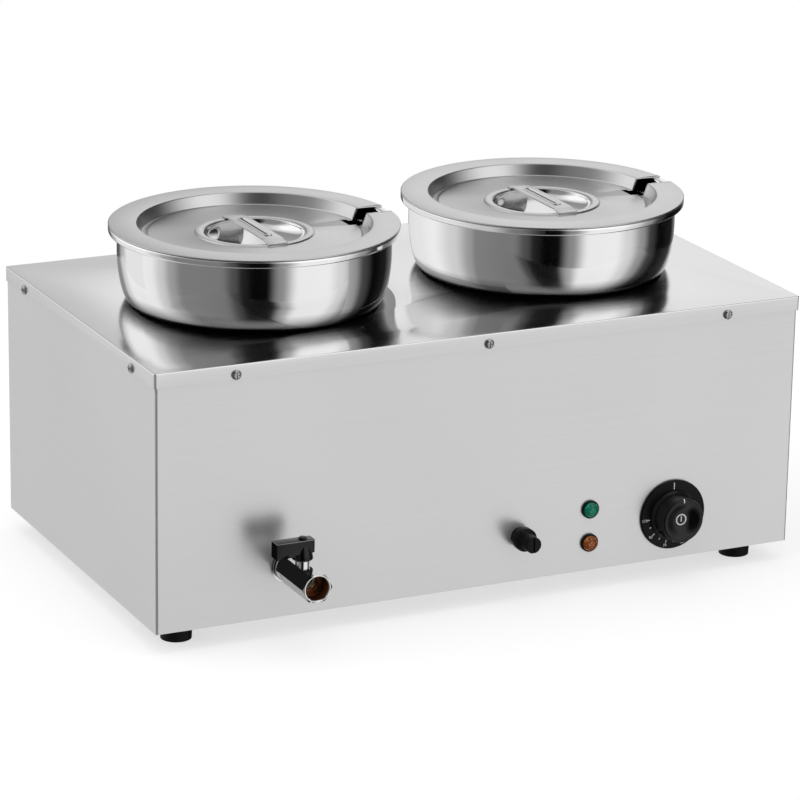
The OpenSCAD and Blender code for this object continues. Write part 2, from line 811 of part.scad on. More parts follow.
// Valve body: local z runs outwards along the flow and local y is up
module valve_body() {
    hex_start = escutcheon_t + collar_l;
    hex_l = valve_reach - hex_start;
    corner = valve_flats / 2 / cos(30);
    color("silver") on_front(valve_x, valve_z) difference() {
        union() {
            translate([0, 0, escutcheon_t]) cylinder(d = valve_collar_d, h = collar_l);
            translate([0, 0, hex_start]) intersection() {
                hex(valve_flats, hex_l);
                union() {
                    cylinder(r = corner + cut, h = hex_l - mouth_bevel);
                    translate([0, 0, hex_l - mouth_bevel])
                        cylinder(r1 = corner + 0.3, r2 = valve_flats / 2, h = mouth_bevel);
                }
            }
            translate([0, 0, ball_u]) rotate([-90, 0, 0]) cylinder(d = boss_d, h = boss_top);
        }
        translate([0, 0, -cut]) cylinder(r = pipe_d / 2 + thread_gap, h = pipe_start + 0.5 + cut);
        cylinder(d = pipe_bore_d, h = ball_u);
        translate([0, 0, cavity_back]) cylinder(r = cavity_r, h = cavity_front - cavity_back);
        translate([0, 0, ball_u]) cylinder(r = pipe_bore_d / 2, h = valve_reach);
        translate([0, 0, valve_reach - outlet_depth]) cylinder(d = outlet_d, h = outlet_depth + cut);
        translate([0, 0, valve_reach - 1]) cylinder(d1 = outlet_d, d2 = outlet_d + 2.2, h = 1.01);
        translate([0, 0, ball_u]) rotate([-90, 0, 0]) cylinder(r = stem_d / 2 + thread_gap, h = 40);
    }
}

module valve_seats() {
    color("white") on_front(valve_x, valve_z) for (u = [cavity_back, ball_u + seat_face])
        translate([0, 0, u]) tube(cavity_r - thread_gap, seat_bore_r, seat_ring_t);
}

module seat_retainer() {
    color("goldenrod") on_front(valve_x, valve_z)
        translate([0, 0, ball_u + seat_face + seat_ring_t])
            tube(cavity_r - thread_gap, seat_bore_r, retainer_t);
}

module packing_nut() {
    color("silver") on_front(valve_x, valve_z) translate([0, 0, ball_u]) rotate([-90, 0, 0])
        translate([0, 0, boss_top]) hex_nut(packing_flats, stem_d / 2 + thread_gap, packing_h);
}

// The valve's turning parts stand on the ball's centre, with z up
module at_ball() {
    translate([valve_x, front_y - ball_u, valve_axis_z]) children();
}

module valve_ball() {
    slot_w = 3;
    slot_depth = 2.5;
    color("gainsboro") at_ball() difference() {
        sphere(d = ball_d);
        rotate([0, 90, 0]) translate([0, 0, -ball_d]) cylinder(d = ball_bore_d, h = 2 * ball_d);
        translate([0, 0, ball_d / 2 - slot_depth]) block([ball_d, slot_w, ball_d]);
    }
}

module valve_stem() {
    tang_w = 2.9;
    tang_bottom = ball_d / 2 - 2.3;
    stem_bottom = ball_d / 2 + 0.2;
    color("gainsboro") at_ball() difference() {
        union() {
            translate([0, 0, tang_bottom]) block([stem_d - 1, tang_w, 3]);
            translate([0, 0, stem_bottom]) cylinder(d = stem_d, h = lever_top - 3 - stem_bottom);
        }
        for (side = [-1, 1]) translate([0, side * (stem_flat / 2 + stem_d), packing_top + 2])
            block([2 * stem_d, 2 * stem_d, 40]);
        translate([0, 0, lever_top - 12]) cylinder(r = lever_screw_d / 2 + thread_gap, h = 20);
    }
}

// The lever points to the left and closes the valve there
module valve_lever() {
    bar_bottom = lever_top - lever_bar_h;
    nose_x = hub_r - 0.5;
    stem_r = stem_d / 2 + thread_gap;
    socket_z = hub_bottom - cut;
    round_end = packing_top + 2 + thread_gap;
    color("black") at_ball() difference() {
        union() {
            translate([-lever_l, -lever_w / 2, bar_bottom]) cube([lever_l + nose_x, lever_w, lever_bar_h]);
            translate([nose_x, 0, bar_bottom]) cylinder(d = lever_w, h = lever_bar_h, $fn = 48);
            translate([-lever_l, -lever_w / 2, lever_top - lever_skirt_h])
                cube([lever_skirt_t, lever_w, lever_skirt_h]);
            translate([-lever_l + 1, -lever_web_t / 2, hub_bottom + 1])
                cube([lever_l, lever_web_t, lever_top - hub_bottom - 2]);
            translate([0, 0, hub_bottom]) cylinder(r1 = hub_foot_r, r2 = hub_r, h = lever_top - hub_bottom);
        }
        intersection() {
            translate([0, 0, socket_z]) cylinder(r = stem_r, h = lever_top - hub_bottom - 1.8);
            translate([0, 0, socket_z]) block([2 * stem_d, stem_flat + 2 * thread_gap, lever_top]);
        }
        translate([0, 0, socket_z]) cylinder(r = stem_r, h = round_end - socket_z);
        cylinder(r = lever_screw_d / 2 + thread_gap, h = lever_top + cut);
    }
}

module lever_screw() {
    color("dimgray") at_ball() translate([0, 0, lever_top])
        pan_screw(8, 2.2, lever_screw_d, 11);
}

module thermostat_body() {
    color("ivory") on_front(dial_x, control_z) difference() {
        union() {
            translate([0, 0, -sheet_t - bracket_t]) block([thermostat_w, thermostat_h / 2, bracket_t]);
            translate([0, 0, -sheet_t - bracket_t - thermostat_depth])
                block([thermostat_w, thermostat_h, thermostat_depth]);
            for (s = [-1, 1])
                translate([s * thermostat_blade, 0, -sheet_t - bracket_t - thermostat_depth - blade_l])
                    block([blade_t, blade_w, blade_l + 1]);
        }
        translate([0, 0, shaft_back]) cylinder(r = shaft_d / 2 + thread_gap, h = 20);
        for (s = [-1, 1]) translate([s * thermostat_screw_pitch, 0, -sheet_t - 6])
            cylinder(r = thermostat_screw_d / 2 + thread_gap, h = 10);
    }
}

module thermostat_screws() {
    color("gray") on_front(dial_x, control_z) for (s = [-1, 1])
        translate([s * thermostat_screw_pitch, 0, 0])
            pan_screw(thermostat_head_d, thermostat_head_h, thermostat_screw_d, 6);
}

module thermostat_shaft() {
    color("gray") on_front(dial_x, control_z) translate([0, 0, shaft_back])
        cylinder(d = shaft_d, h = knob_bore_end - 0.5 - shaft_back);
}

function unit(v) = v / norm(v);

// The direction of a route after point i
function heading(route, i) = unit(route[i + 1] - route[i]);

// The plane that a wire's ring lies in at point i, halfway between the directions before and after it
function ring_normal(route, i) =
    i == len(route) - 1 ? heading(route, i - 1) : unit(heading(route, i - 1) + heading(route, i));

// Each point of a ring is carried along the wire to the next ring's plane
function carried(ring, dir, at, normal) = [for (p = ring) p + dir * ((at - p) * normal) / (dir * normal)];

function rings(route, ring, i) = i == len(route) ? ring :
    concat(ring, rings(route, carried(ring, heading(route, i - 1), route[i], ring_normal(route, i)), i + 1));

// A bent wire of eight sides with mitred corners
module wire(route, d) {
    sides = 8;
    dir = heading(route, 0);
    across = unit(cross(dir, abs(dir[2]) > 0.9 ? [1, 0, 0] : [0, 0, 1]));
    first = [for (k = [0:sides - 1]) let(a = k * 360 / sides)
        route[0] + d / 2 * (cos(a) * across + sin(a) * cross(dir, across))];
    last = (len(route) - 1) * sides;
    sleeve = [for (i = [0:len(route) - 2]) for (k = [0:sides - 1]) let(j = (k + 1) % sides)
        [i * sides + k, (i + 1) * sides + k, (i + 1) * sides + j, i * sides + j]];
    caps = [[for (k = [0:sides - 1]) k], [for (k = [sides - 1:-1:0]) last + k]];
    polyhedron(rings(route, first, 1), concat(sleeve, caps));
}

module thermostat_capillary() {
    color("peru") wire(capillary_route, capillary_d);
}

module sensor_bulb() {
    color("peru") translate([bulb_x1 - bulb_l, bulb_y, bulb_z]) rotate([0, 90, 0])
        cylinder(d = bulb_d, h = bulb_l);
    color("lightgray") for (x = [bulb_x1 - bulb_l + bulb_clip_inset, bulb_x1 - bulb_clip_inset])
        translate([x, bulb_y, tank_floor_z]) block([bulb_clip_w, bulb_d / 2, bulb_z - tank_floor_z]);
}

module capillary_entry() {
    translate([capillary_x, tank_front_y, capillary_z]) rotate([90, 0, 0]) children();
}

module capillary_gland() {
    color("goldenrod") capillary_entry() difference() {
        union() {
            translate([0, 0, -2 * capillary_nut_h])
                cylinder(d = capillary_thread_d, h = 4 * capillary_nut_h);
            hex(capillary_flats, capillary_nut_h + tank_t);
            translate([0, 0, -tank_t - capillary_nut_h]) hex(capillary_flats, capillary_nut_h);
        }
        translate([0, 0, -2 * drill]) cylinder(r = capillary_d / 2 + thread_gap, h = 4 * drill);
    }
}

module dial_plate() {
    color("black") on_front(dial_x, control_z) difference() {
        union() {
            cylinder(d = dial_plate_d, h = dial_plate_t - bezel_bevel);
            translate([0, 0, dial_plate_t - bezel_bevel])
                cylinder(d1 = dial_plate_d, d2 = dial_plate_d - 2 * bezel_bevel, h = bezel_bevel);
        }
        translate([0, 0, -cut]) cylinder(d = dial_pocket_d, h = dial_pocket_depth + cut);
        translate([0, 0, -cut]) cylinder(r = shaft_d / 2 + 1, h = dial_plate_t + 2 * cut);
    }
}

// A flat mark on a dial, turned clockwise from the top
module mark(angle, inner_r, length, width) {
    rotate([0, 0, -angle]) translate([0, inner_r + length / 2, 0]) block([width, length, mark_h]);
}

module dial_marks() {
    color("white") on_front(dial_x, control_z) translate([0, 0, dial_plate_t]) {
        mark(0, mark_inner_r, zero_mark_l, mark_w);
        for (i = [0:scale_majors - 1])
            mark(scale_first_angle + i * scale_step_angle, mark_inner_r, major_mark_l, mark_w);
        for (i = [0:scale_majors - 2])
            mark(scale_first_angle + (i + 0.5) * scale_step_angle, mark_inner_r, minor_mark_l, mark_w);
    }
}

module dial_knob() {
    edge_r = 1.6;
    profile = concat(
        [[0, knob_foot],
         [knob_d / 2, knob_foot],
         [knob_d / 2, knob_foot + 1.4],
         [knob_face_r, knob_foot + 3.4],
         [knob_face_r - 0.4, knob_reach - edge_r]],
        arc(knob_face_r - 0.4 - edge_r, knob_reach - edge_r, edge_r, edge_r, 0, 90, 4),
        [[knob_dish_r, knob_reach],
         [knob_dish_r * 0.75, knob_reach - knob_dish_depth / 3],
         [knob_dish_r * 0.42, knob_reach - knob_dish_depth * 0.875],
         [dot_d / 2 + 0.4, knob_reach - knob_dish_depth],
         [0, knob_reach - knob_dish_depth]]);
    color("black") on_front(dial_x, control_z) difference() {
        rotate_extrude() polygon(profile);
        difference() {
            translate([0, 0, -cut]) cylinder(r = knob_face_r - 2.5, h = knob_reach - 8 + cut);
            cylinder(r = shaft_d / 2 + 3, h = knob_reach);
        }
        translate([0, 0, -cut]) cylinder(r = shaft_d / 2 + thread_gap, h = knob_bore_end + cut);
    }
}

// White pointer on the knob's face and a plain white dot in its middle
module knob_marks() {
    color("white") on_front(dial_x, control_z) {
        translate([0, 0, knob_reach]) mark(0, knob_dish_r, minor_mark_l, mark_w);
        translate([0, 0, knob_reach - knob_dish_depth]) cylinder(d = dot_d, h = mark_h);
    }
}

module lamp_place(s) {
    on_front(lamp_x, control_z + s * lamp_pitch / 2) children();
}

module bezel() {
    difference() {
        union() {
            cylinder(d = bezel_d, h = bezel_h - bezel_bevel);
            translate([0, 0, bezel_h - bezel_bevel])
                cylinder(d1 = bezel_d, d2 = bezel_d - 2 * bezel_bevel, h = bezel_bevel);
        }
        translate([0, 0, -cut]) cylinder(r = lens_d / 2 + thread_gap, h = bezel_h + 2 * cut);
    }
}

module lens() {
    cylinder(d = lens_d, h = bezel_h);
    translate([0, 0, bezel_h]) cylinder(d1 = lens_d, d2 = lens_d * 0.72, h = (lens_reach - bezel_h) * 0.55);
    translate([0, 0, bezel_h + (lens_reach - bezel_h) * 0.55])
        cylinder(d1 = lens_d * 0.72, d2 = lens_d * 0.25, h = (lens_reach - bezel_h) * 0.45);
}

module green_lamp_bezel() { color("dimgray") lamp_place(1) bezel(); }
module green_lamp_lens() { color("green") lamp_place(1) lens(); }
module amber_lamp_bezel() { color("dimgray") lamp_place(-1) bezel(); }
module amber_lamp_lens() { color("orange") lamp_place(-1) lens(); }

module blades(depth, spread) {
    for (s = [-1, 1]) translate([s * spread, 0, -depth - blade_l]) block([blade_t, blade_w, blade_l]);
}

module lamp_bodies() {
    color("white") for (s = [-1, 1]) lamp_place(s) {
        translate([0, 0, -lamp_depth]) cylinder(d = lamp_body_d, h = lamp_depth);
        blades(lamp_depth, lamp_blade);
    }
}

module lamp_nuts() {
    color("gray") for (s = [-1, 1]) lamp_place(s) translate([0, 0, -sheet_t - lamp_nut_h])
        tube(lamp_body_d / 2 + 2.3, lamp_body_d / 2 + thread_gap, lamp_nut_h);
}

module fuse_holder() {
    plug_r = fuse_plug_d / 2 + slide_gap;
    color("black") on_front(fuse_x, control_z) {
        difference() {
            union() {
                cylinder(d = fuse_flange_d, h = fuse_flange_h);
                translate([0, 0, -fuse_body_depth]) cylinder(d = fuse_body_d, h = fuse_body_depth + 1);
            }
            translate([0, 0, -fuse_plug_depth - 0.5]) cylinder(r = plug_r, h = 40);
            translate([0, 0, -fuse_body_depth + 2]) cylinder(r = fuse_link_d / 2 + slide_gap, h = 80);
        }
        blades(fuse_body_depth, fuse_blade);
    }
}

module fuse_holder_nut() {
    color("dimgray") on_front(fuse_x, control_z) translate([0, 0, -sheet_t - fuse_nut_h])
        hex_nut(fuse_body_d + 5, fuse_body_d / 2 + thread_gap, fuse_nut_h);
}

// The cap turns on the link's end and its plug reaches into the holder
module fuse_cap() {
    ring_start = fuse_flange_h + seat_gap;
    nose_start = ring_start + fuse_ring_h;
    color("black") on_front(fuse_x, control_z) difference() {
        union() {
            translate([0, 0, -fuse_plug_depth])
                cylinder(d = fuse_plug_d, h = fuse_plug_depth + ring_start + 1);
            translate([0, 0, ring_start]) cylinder(d = fuse_ring_d, h = fuse_ring_h - 2.5);
            translate([0, 0, nose_start - 2.5]) cylinder(d1 = fuse_ring_d, d2 = fuse_nose_d, h = 2.5);
            translate([0, 0, nose_start - 1]) cylinder(d = fuse_nose_d, h = fuse_reach - nose_start + 0.4);
            translate([0, 0, fuse_reach - 0.6]) cylinder(d1 = fuse_nose_d, d2 = fuse_nose_d - 1.2, h = 0.6);
        }
        translate([0, 0, fuse_reach - 1.6]) block([1.6, fuse_nose_d + 2, 4]);
        translate([0, 0, -fuse_plug_depth - cut])
            cylinder(r = fuse_link_d / 2 + thread_gap, h = fuse_grip_depth + cut);
    }
}

module fuse_link() {
    end_l = 6;
    link_back = -fuse_plug_depth + fuse_grip_depth - seat_gap - fuse_link_l;
    color("lightblue") on_front(fuse_x, control_z) translate([0, 0, link_back]) {
        cylinder(d = fuse_link_d, h = end_l);
        translate([0, 0, end_l]) cylinder(d = fuse_link_d - 0.6, h = fuse_link_l - 2 * end_l);
        translate([0, 0, fuse_link_l - end_l]) cylinder(d = fuse_link_d, h = end_l);
    }
}

module overheat_cutout() {
    color("saddlebrown") translate([cutout_x, cutout_y, tank_bottom_z]) mirror([0, 0, 1]) {
        block([cutout_ear_l, cutout_d * 0.75, sheet_t]);
        cylinder(d = cutout_d, h = cutout_h);
        for (s = [-1, 1]) translate([s * cutout_blade, 0, cutout_h]) block([blade_t, blade_w, blade_l]);
    }
}

module terminal_block() {
    color("ivory") translate([block_x, block_y, pan_top_z]) difference() {
        block(block_size);
        for (s = [-1:1]) translate([s * block_pitch, 0, block_size[2] - block_socket_depth])
            cylinder(d = block_socket_d, h = block_socket_depth + cut);
    }
}

module earth_place() {
    translate([block_x - 1.5 * block_size[0], block_y, pan_top_z]) children();
}

module earth_stud() {
    earth_flats = earth_d + 3;
    color("goldenrod") earth_place() {
        translate([0, 0, -sheet_t]) cylinder(d = earth_d, h = earth_l);
        hex(earth_flats, earth_nut_h);
        translate([0, 0, earth_nut_h + 1.5]) hex(earth_flats, earth_nut_h);
    }
}

module cable_gland() {
    dome_h = gland_reach - gland_hex_h;
    color("black") on_rear(gland_x, gland_z) difference() {
        union() {
            translate([0, 0, -sheet_t - gland_inner])
                cylinder(d = gland_thread_d, h = gland_inner + sheet_t + 1);
            hex(gland_flats, gland_hex_h);
            translate([0, 0, gland_hex_h]) cylinder(d = gland_dome_d, h = dome_h - gland_nose_h);
            translate([0, 0, gland_reach - gland_nose_h])
                cylinder(d1 = gland_dome_d, d2 = gland_dome_d - 2 * gland_nose_w, h = gland_nose_h);
        }
        translate([0, 0, -sheet_t - gland_inner - cut])
            cylinder(d = gland_bore_d, h = gland_inner + sheet_t + gland_reach + 2 * cut);
    }
}

module gland_nut() {
    color("black") on_rear(gland_x, gland_z) translate([0, 0, -sheet_t - gland_nut_h])
        hex_nut(gland_flats + 2, gland_thread_d / 2 + thread_gap, gland_nut_h);
}

module wiring() {
    color("firebrick") for (route = wire_routes) wire(route, wire_d);
}

// Outline of a pot's section, from the axis out along its outside and back along its inside
function pot_section() = concat(
    [[0, -pot_below]],
    arc(low_r - pot_bottom_r, pot_bottom_r - pot_below, pot_bottom_r, pot_bottom_r, -90, 0, 6),
    [[low_r, seat_gap]],
    arc(seat_r, seat_gap + belly_h, wall_r - seat_r, belly_h, -90, 0, 12),
    [[wall_r, pot_above - rim_bead_d * 0.6]],
    arc(rim_d / 2 - rim_bead_d / 2, pot_above - rim_bead_d / 2, rim_bead_d / 2, rim_bead_d / 2, -150, 90, 10),
    [[wall_r - pot_t, pot_above]],
    arc(seat_r - pot_t, seat_gap + belly_h, wall_r - seat_r, belly_h - pot_t, 0, -90, 12),
    [[low_r - pot_t, seat_gap + pot_t]],
    arc(low_r - pot_bottom_r, pot_bottom_r - pot_below,
        pot_bottom_r - pot_t, pot_bottom_r - pot_t, 0, -90, 6),
    [[0, pot_t - pot_below]]);

module pot(side) {
    color("lightgray") translate([side * pot_pitch / 2, mid_y, deck_z])
        rotate_extrude($fn = wall_edges) polygon(pot_section());
}

// Outline of a lid's section, from its edge in along the top and back along the underside
function lid_section() = concat(
    [[rim_d / 2, lid_top - lid_edge],
     [rim_d / 2 - lid_edge, lid_top],
     [well_r + 3 * lid_edge, lid_top],
     [well_r + 0.3, lid_top - lid_edge],
     [well_r, lid_top - 3 * lid_edge],
     [well_r - well_slope_w, step_z + 0.6],
     [well_r - well_slope_w - 2 * lid_edge, step_z],
     [floor_r + 4 * lid_edge, step_z],
     [floor_r, floor_z],
     [ring_r, floor_z],
     [ring_r - 1, floor_z + ring_h],
     [dish_r + 2 * lid_t, floor_z + ring_h],
     [dish_r + 1, floor_z]],
    arc(0, floor_z, dish_r, dish_depth, 0, -90, 10),
    arc(0, floor_z, dish_r + lid_t, dish_depth + lid_t, -90, -6, 10),
    [[dish_r + 2 * lid_t, floor_z - lid_t],
     [floor_r + lid_t / 2, floor_z - lid_t],
     [floor_r + 1.5 * lid_t, step_z - lid_t],
     [well_r - well_slope_w + lid_t, step_z - lid_t],
     [well_r + lid_t, lid_under],
     [rim_d / 2 - lid_edge, lid_under],
     [rim_d / 2, lid_under + lid_edge]]);

module lid(side) {
    color("gainsboro") translate([side * pot_pitch / 2, mid_y, rim_z]) difference() {
        rotate_extrude($fn = wall_edges) polygon(lid_section());
        translate([floor_r - notch_reach, -notch_w / 2, -2 * well_depth])
            cube([rim_d, notch_w, 4 * well_depth]);
    }
}

// The strap stands on the raised ring at both ends and spans the finger dish
module lid_handle(side) {
    half = handle_l / 2;
    ramp_y = half - handle_foot_l;
    grip_y = ramp_y - handle_ramp_l;
    strap_z = floor_z + ring_h;
    upper = [[half, handle_t], [ramp_y, handle_t], [grip_y, handle_rise + handle_t]];
    lower = [[half, 0], [ramp_y, 0], [grip_y, handle_rise]];
    mirrored = function (list) [for (i = [len(list) - 1:-1:0]) [-list[i][0], list[i][1]]];
    reversed = function (list) [for (i = [len(list) - 1:-1:0]) list[i]];
    color("gainsboro") translate([side * pot_pitch / 2, mid_y, rim_z + strap_z]) {
        rotate([90, 0, 90]) translate([0, 0, -handle_w / 2]) linear_extrude(handle_w)
            polygon(concat(upper, mirrored(upper), reversed(mirrored(lower)), reversed(lower)));
        translate([0, 0, handle_rise + handle_t]) {
            block([handle_rib_w, handle_rib_l - handle_rib_w, handle_rib_h]);
            for (end = [-1, 1]) translate([0, end * (handle_rib_l - handle_rib_w) / 2, 0])
                cylinder(d = handle_rib_w, h = handle_rib_h);
        }
    }
}

module pot_left() { pot(-1); }
module pot_right() { pot(1); }
module lid_left() { lid(-1); }
module lid_right() { lid(1); }
module lid_handle_left() { lid_handle(-1); }
module lid_handle_right() { lid_handle(1); }

casing_wrap();
rear_panel();
base_pan();
top_deck();
casing_screws();
base_screws();
feet();
foot_screws();
water_tank();
heating_element();
element_rests();
element_nuts();
element_terminals();
drain_elbow();
drain_nut();
drain_pipe();
drain_locknut();
valve_escutcheon();
valve_body();
valve_seats();
seat_retainer();
packing_nut();
valve_ball();
valve_stem();
valve_lever();
lever_screw();
thermostat_body();
thermostat_screws();
thermostat_capillary();
sensor_bulb();
capillary_gland();
thermostat_shaft();
dial_plate();
dial_marks();
dial_knob();
knob_marks();
green_lamp_bezel();
green_lamp_lens();
amber_lamp_bezel();
amber_lamp_lens();
lamp_bodies();
lamp_nuts();
fuse_holder();
fuse_holder_nut();
fuse_cap();
fuse_link();
overheat_cutout();
terminal_block();
earth_stud();
cable_gland();
gland_nut();
wiring();
pot_left();
pot_right();
lid_left();
lid_right();
lid_handle_left();
lid_handle_right();
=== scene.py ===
import math

import bmesh
import bpy
from mathutils import Matrix, Vector


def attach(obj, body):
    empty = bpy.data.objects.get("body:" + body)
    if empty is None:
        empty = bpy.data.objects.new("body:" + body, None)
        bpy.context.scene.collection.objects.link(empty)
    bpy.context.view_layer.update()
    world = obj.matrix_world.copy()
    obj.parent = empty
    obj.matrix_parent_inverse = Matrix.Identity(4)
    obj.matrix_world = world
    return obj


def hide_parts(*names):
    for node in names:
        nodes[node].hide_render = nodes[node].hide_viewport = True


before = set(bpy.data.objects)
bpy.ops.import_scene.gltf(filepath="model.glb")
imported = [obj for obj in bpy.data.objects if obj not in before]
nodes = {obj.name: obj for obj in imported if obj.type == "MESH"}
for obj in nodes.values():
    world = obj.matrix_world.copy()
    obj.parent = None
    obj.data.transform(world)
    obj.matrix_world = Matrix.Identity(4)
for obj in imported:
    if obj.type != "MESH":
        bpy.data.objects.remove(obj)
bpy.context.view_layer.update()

# Pieces are modelled in millimetres and come down to metres as they are placed
MM = 0.001
TURN = 2 * math.pi

# Places in the frame, in millimetres
MID_Y = 21.0
FRONT_Y = -156.5
DECK_Z = 249.0
RIM_Z = 316.5
POT_X = 141.5
VALVE_X, VALVE_Z = -187.0, 65.0
LAMP_X, DIAL_X = 104.0, 187.0
CONTROL_Z, LAMP_RISE = 60.5, 15.5


# ---------------------------------------------------------------- helpers

def grey(value):
    return value, value, value


def bend(x, y, rx, ry, start, end, steps):
    """Points along an elliptic arc, in degrees."""
    angles = [math.radians(start + (end - start) * i / steps) for i in range(steps + 1)]
    return [(x + rx * math.cos(a), y + ry * math.sin(a)) for a in angles]


def wire(bm, points):
    """Edges from point to point."""
    verts = [bm.verts.new(point) for point in points]
    return [bm.edges.new(pair) for pair in zip(verts, verts[1:])]


def move_made(bm, made, vec):
    """Moves the vertices that an operator made."""
    bmesh.ops.translate(bm, verts=[v for v in made["geom"] if isinstance(v, bmesh.types.BMVert)], vec=vec)


def draw_out(bm, edges, vec):
    """Draws the edges out to a sheet."""
    move_made(bm, bmesh.ops.extrude_edge_only(bm, edges=edges), vec)


# ---------------------------------------------------------------- camera, floor and lights

# Fitted to the photograph: place in metres, angles in radians, lens and sensor in millimetres
CAMERA_PLACE = (-1.44399, -2.98486, 1.19224)
YAW, PITCH, ROLL = 0.44848, 0.30638, -0.01675
LENS, SENSOR = 174.28, 36.0


def set_camera():
    ahead = Vector((math.sin(YAW) * math.cos(PITCH), math.cos(YAW) * math.cos(PITCH), -math.sin(PITCH)))
    right = Vector((math.cos(YAW), -math.sin(YAW), 0))
    down = ahead.cross(right)
    rolled_right = math.cos(ROLL) * right + math.sin(ROLL) * down
    rolled_down = -math.sin(ROLL) * right + math.cos(ROLL) * down
    turn = Matrix((rolled_right, -rolled_down, -ahead)).transposed()
    data = bpy.data.cameras.new("studio_camera")
    data.sensor_width = SENSOR
    data.lens = LENS
    data.clip_end = 40.0
    camera = bpy.data.objects.new("studio_camera", data)
    camera.matrix_world = Matrix.Translation(CAMERA_PLACE) @ turn.to_4x4()
    bpy.context.scene.collection.objects.link(camera)
    bpy.context.scene.camera = camera


def maths(tree, operation, first, second=None):
    node = tree.nodes.new("ShaderNodeMath")
    node.operation = operation
    for socket, value in zip(node.inputs, (first, second)):
        if value is None:
            continue
        if isinstance(value, (int, float)):
            socket.default_value = value
        else:
            tree.links.new(value, socket)
    return node.outputs[0]


def spread(tree, value, low, high, from_low=0.25, from_high=0.75):
    """A value between from_low and from_high spread over low to high."""
    node = tree.nodes.new("ShaderNodeMapRange")
    node.inputs["From Min"].default_value = from_low
    node.inputs["From Max"].default_value = from_high
    node.inputs["To Min"].default_value = low
    node.inputs["To Max"].default_value = high
    tree.links.new(value, node.inputs["Value"])
    return node.outputs["Result"]


def seen_by(tree, *kinds):
    """1 where one of these kinds of ray arrives, else 0."""
    rays = tree.nodes.new("ShaderNodeLightPath")
    total = rays.outputs[kinds[0]]
    for kind in kinds[1:]:
        total = maths(tree, "MAXIMUM", total, rays.outputs[kind])
    return total


def blend_colours(tree, factor, first, second):
    mix = tree.nodes.new("ShaderNodeMix")
    mix.data_type = "RGBA"
    tree.links.new(factor, mix.inputs["Factor"])
    for label, value in (("A", first), ("B", second)):
        if isinstance(value, tuple):
            mix.inputs[label].default_value = (*value, 1)
        else:
            tree.links.new(value, mix.inputs[label])
    return mix.outputs["Result"]


# The room that polished steel sees past the edge of the floor: degrees round from BAND_START, and grey.
# The low bands are under the horizon, the high ones over it, up to the ceiling.
BAND_START = 140.0
LOW_BANDS = [(0, 0.95), (10, 0.92), (22, 0.66), (33, 0.37), (44, 0.22), (78, 0.21), (90, 0.08), (97, 0.015),
             (106, 0.001), (117, 0.002), (129, 0.28), (145, 0.95), (170, 0.97), (184, 0.74), (200, 0.32),
             (212, 0.05), (226, 0.002), (252, 0.010), (276, 0.30), (292, 0.12), (308, 0.10), (322, 0.50),
             (334, 0.88)]
HIGH_BANDS = [(0, 0.98), (10, 0.95), (22, 0.68), (33, 0.39), (44, 0.23), (78, 0.20), (88, 0.06), (95, 0.004),
              (106, 0.001), (117, 0.003), (128, 0.40), (140, 0.98), (170, 1.0), (184, 0.74), (200, 0.32),
              (212, 0.05), (226, 0.004), (250, 0.03), (274, 0.74), (284, 0.76), (292, 0.54), (300, 0.28),
              (312, 0.25), (325, 0.70), (338, 0.95)]
HIGH_STRENGTH = 1.28
CEILING = 0.65
# Heights of a ray's direction: the horizon is soft by this much, and the ceiling fades in over this stretch
HORIZON_BLUR = 0.10
CEILING_LOW, CEILING_HIGH = 0.80, 0.97


def band_ramp(tree, share, bands):
    ramp = tree.nodes.new("ShaderNodeValToRGB")
    ramp.color_ramp.interpolation = "EASE"
    stops = ramp.color_ramp.elements
    while len(stops) < len(bands):
        stops.new(0.5)
    for stop, (degrees, value) in zip(stops, bands):
        stop.position = degrees / 360
        stop.color = (*grey(value), 1)
    tree.links.new(share, ramp.inputs["Fac"])
    return ramp.outputs["Color"]


def share_round(tree, vector):
    """How far round from BAND_START a vector points, as a share of a turn."""
    parts = tree.nodes.new("ShaderNodeSeparateXYZ")
    tree.links.new(vector, parts.inputs[0])
    angle = maths(tree, "ARCTAN2", parts.outputs["Y"], parts.outputs["X"])
    return maths(tree, "FRACT", maths(tree, "ADD", maths(tree, "DIVIDE", angle, TURN), 1 - BAND_START / 360))


def studio_seen_in_steel(tree):
    """Dark and white bands round the room, and a pale ceiling."""
    ray = tree.nodes.new("ShaderNodeTexCoord")
    parts = tree.nodes.new("ShaderNodeSeparateXYZ")
    tree.links.new(ray.outputs["Generated"], parts.inputs[0])
    share = share_round(tree, ray.outputs["Generated"])
    horizon = spread(tree, parts.outputs["Z"], 0.0, 1.0, -HORIZON_BLUR, HORIZON_BLUR)
    high = tree.nodes.new("ShaderNodeVectorMath")
    high.operation = "SCALE"
    high.inputs["Scale"].default_value = HIGH_STRENGTH
    tree.links.new(band_ramp(tree, share, HIGH_BANDS), high.inputs[0])
    walls = blend_colours(tree, horizon, band_ramp(tree, share, LOW_BANDS), high.outputs[0])
    ceiling = spread(tree, parts.outputs["Z"], 0.0, 1.0, CEILING_LOW, CEILING_HIGH)
    return blend_colours(tree, ceiling, walls, grey(CEILING))


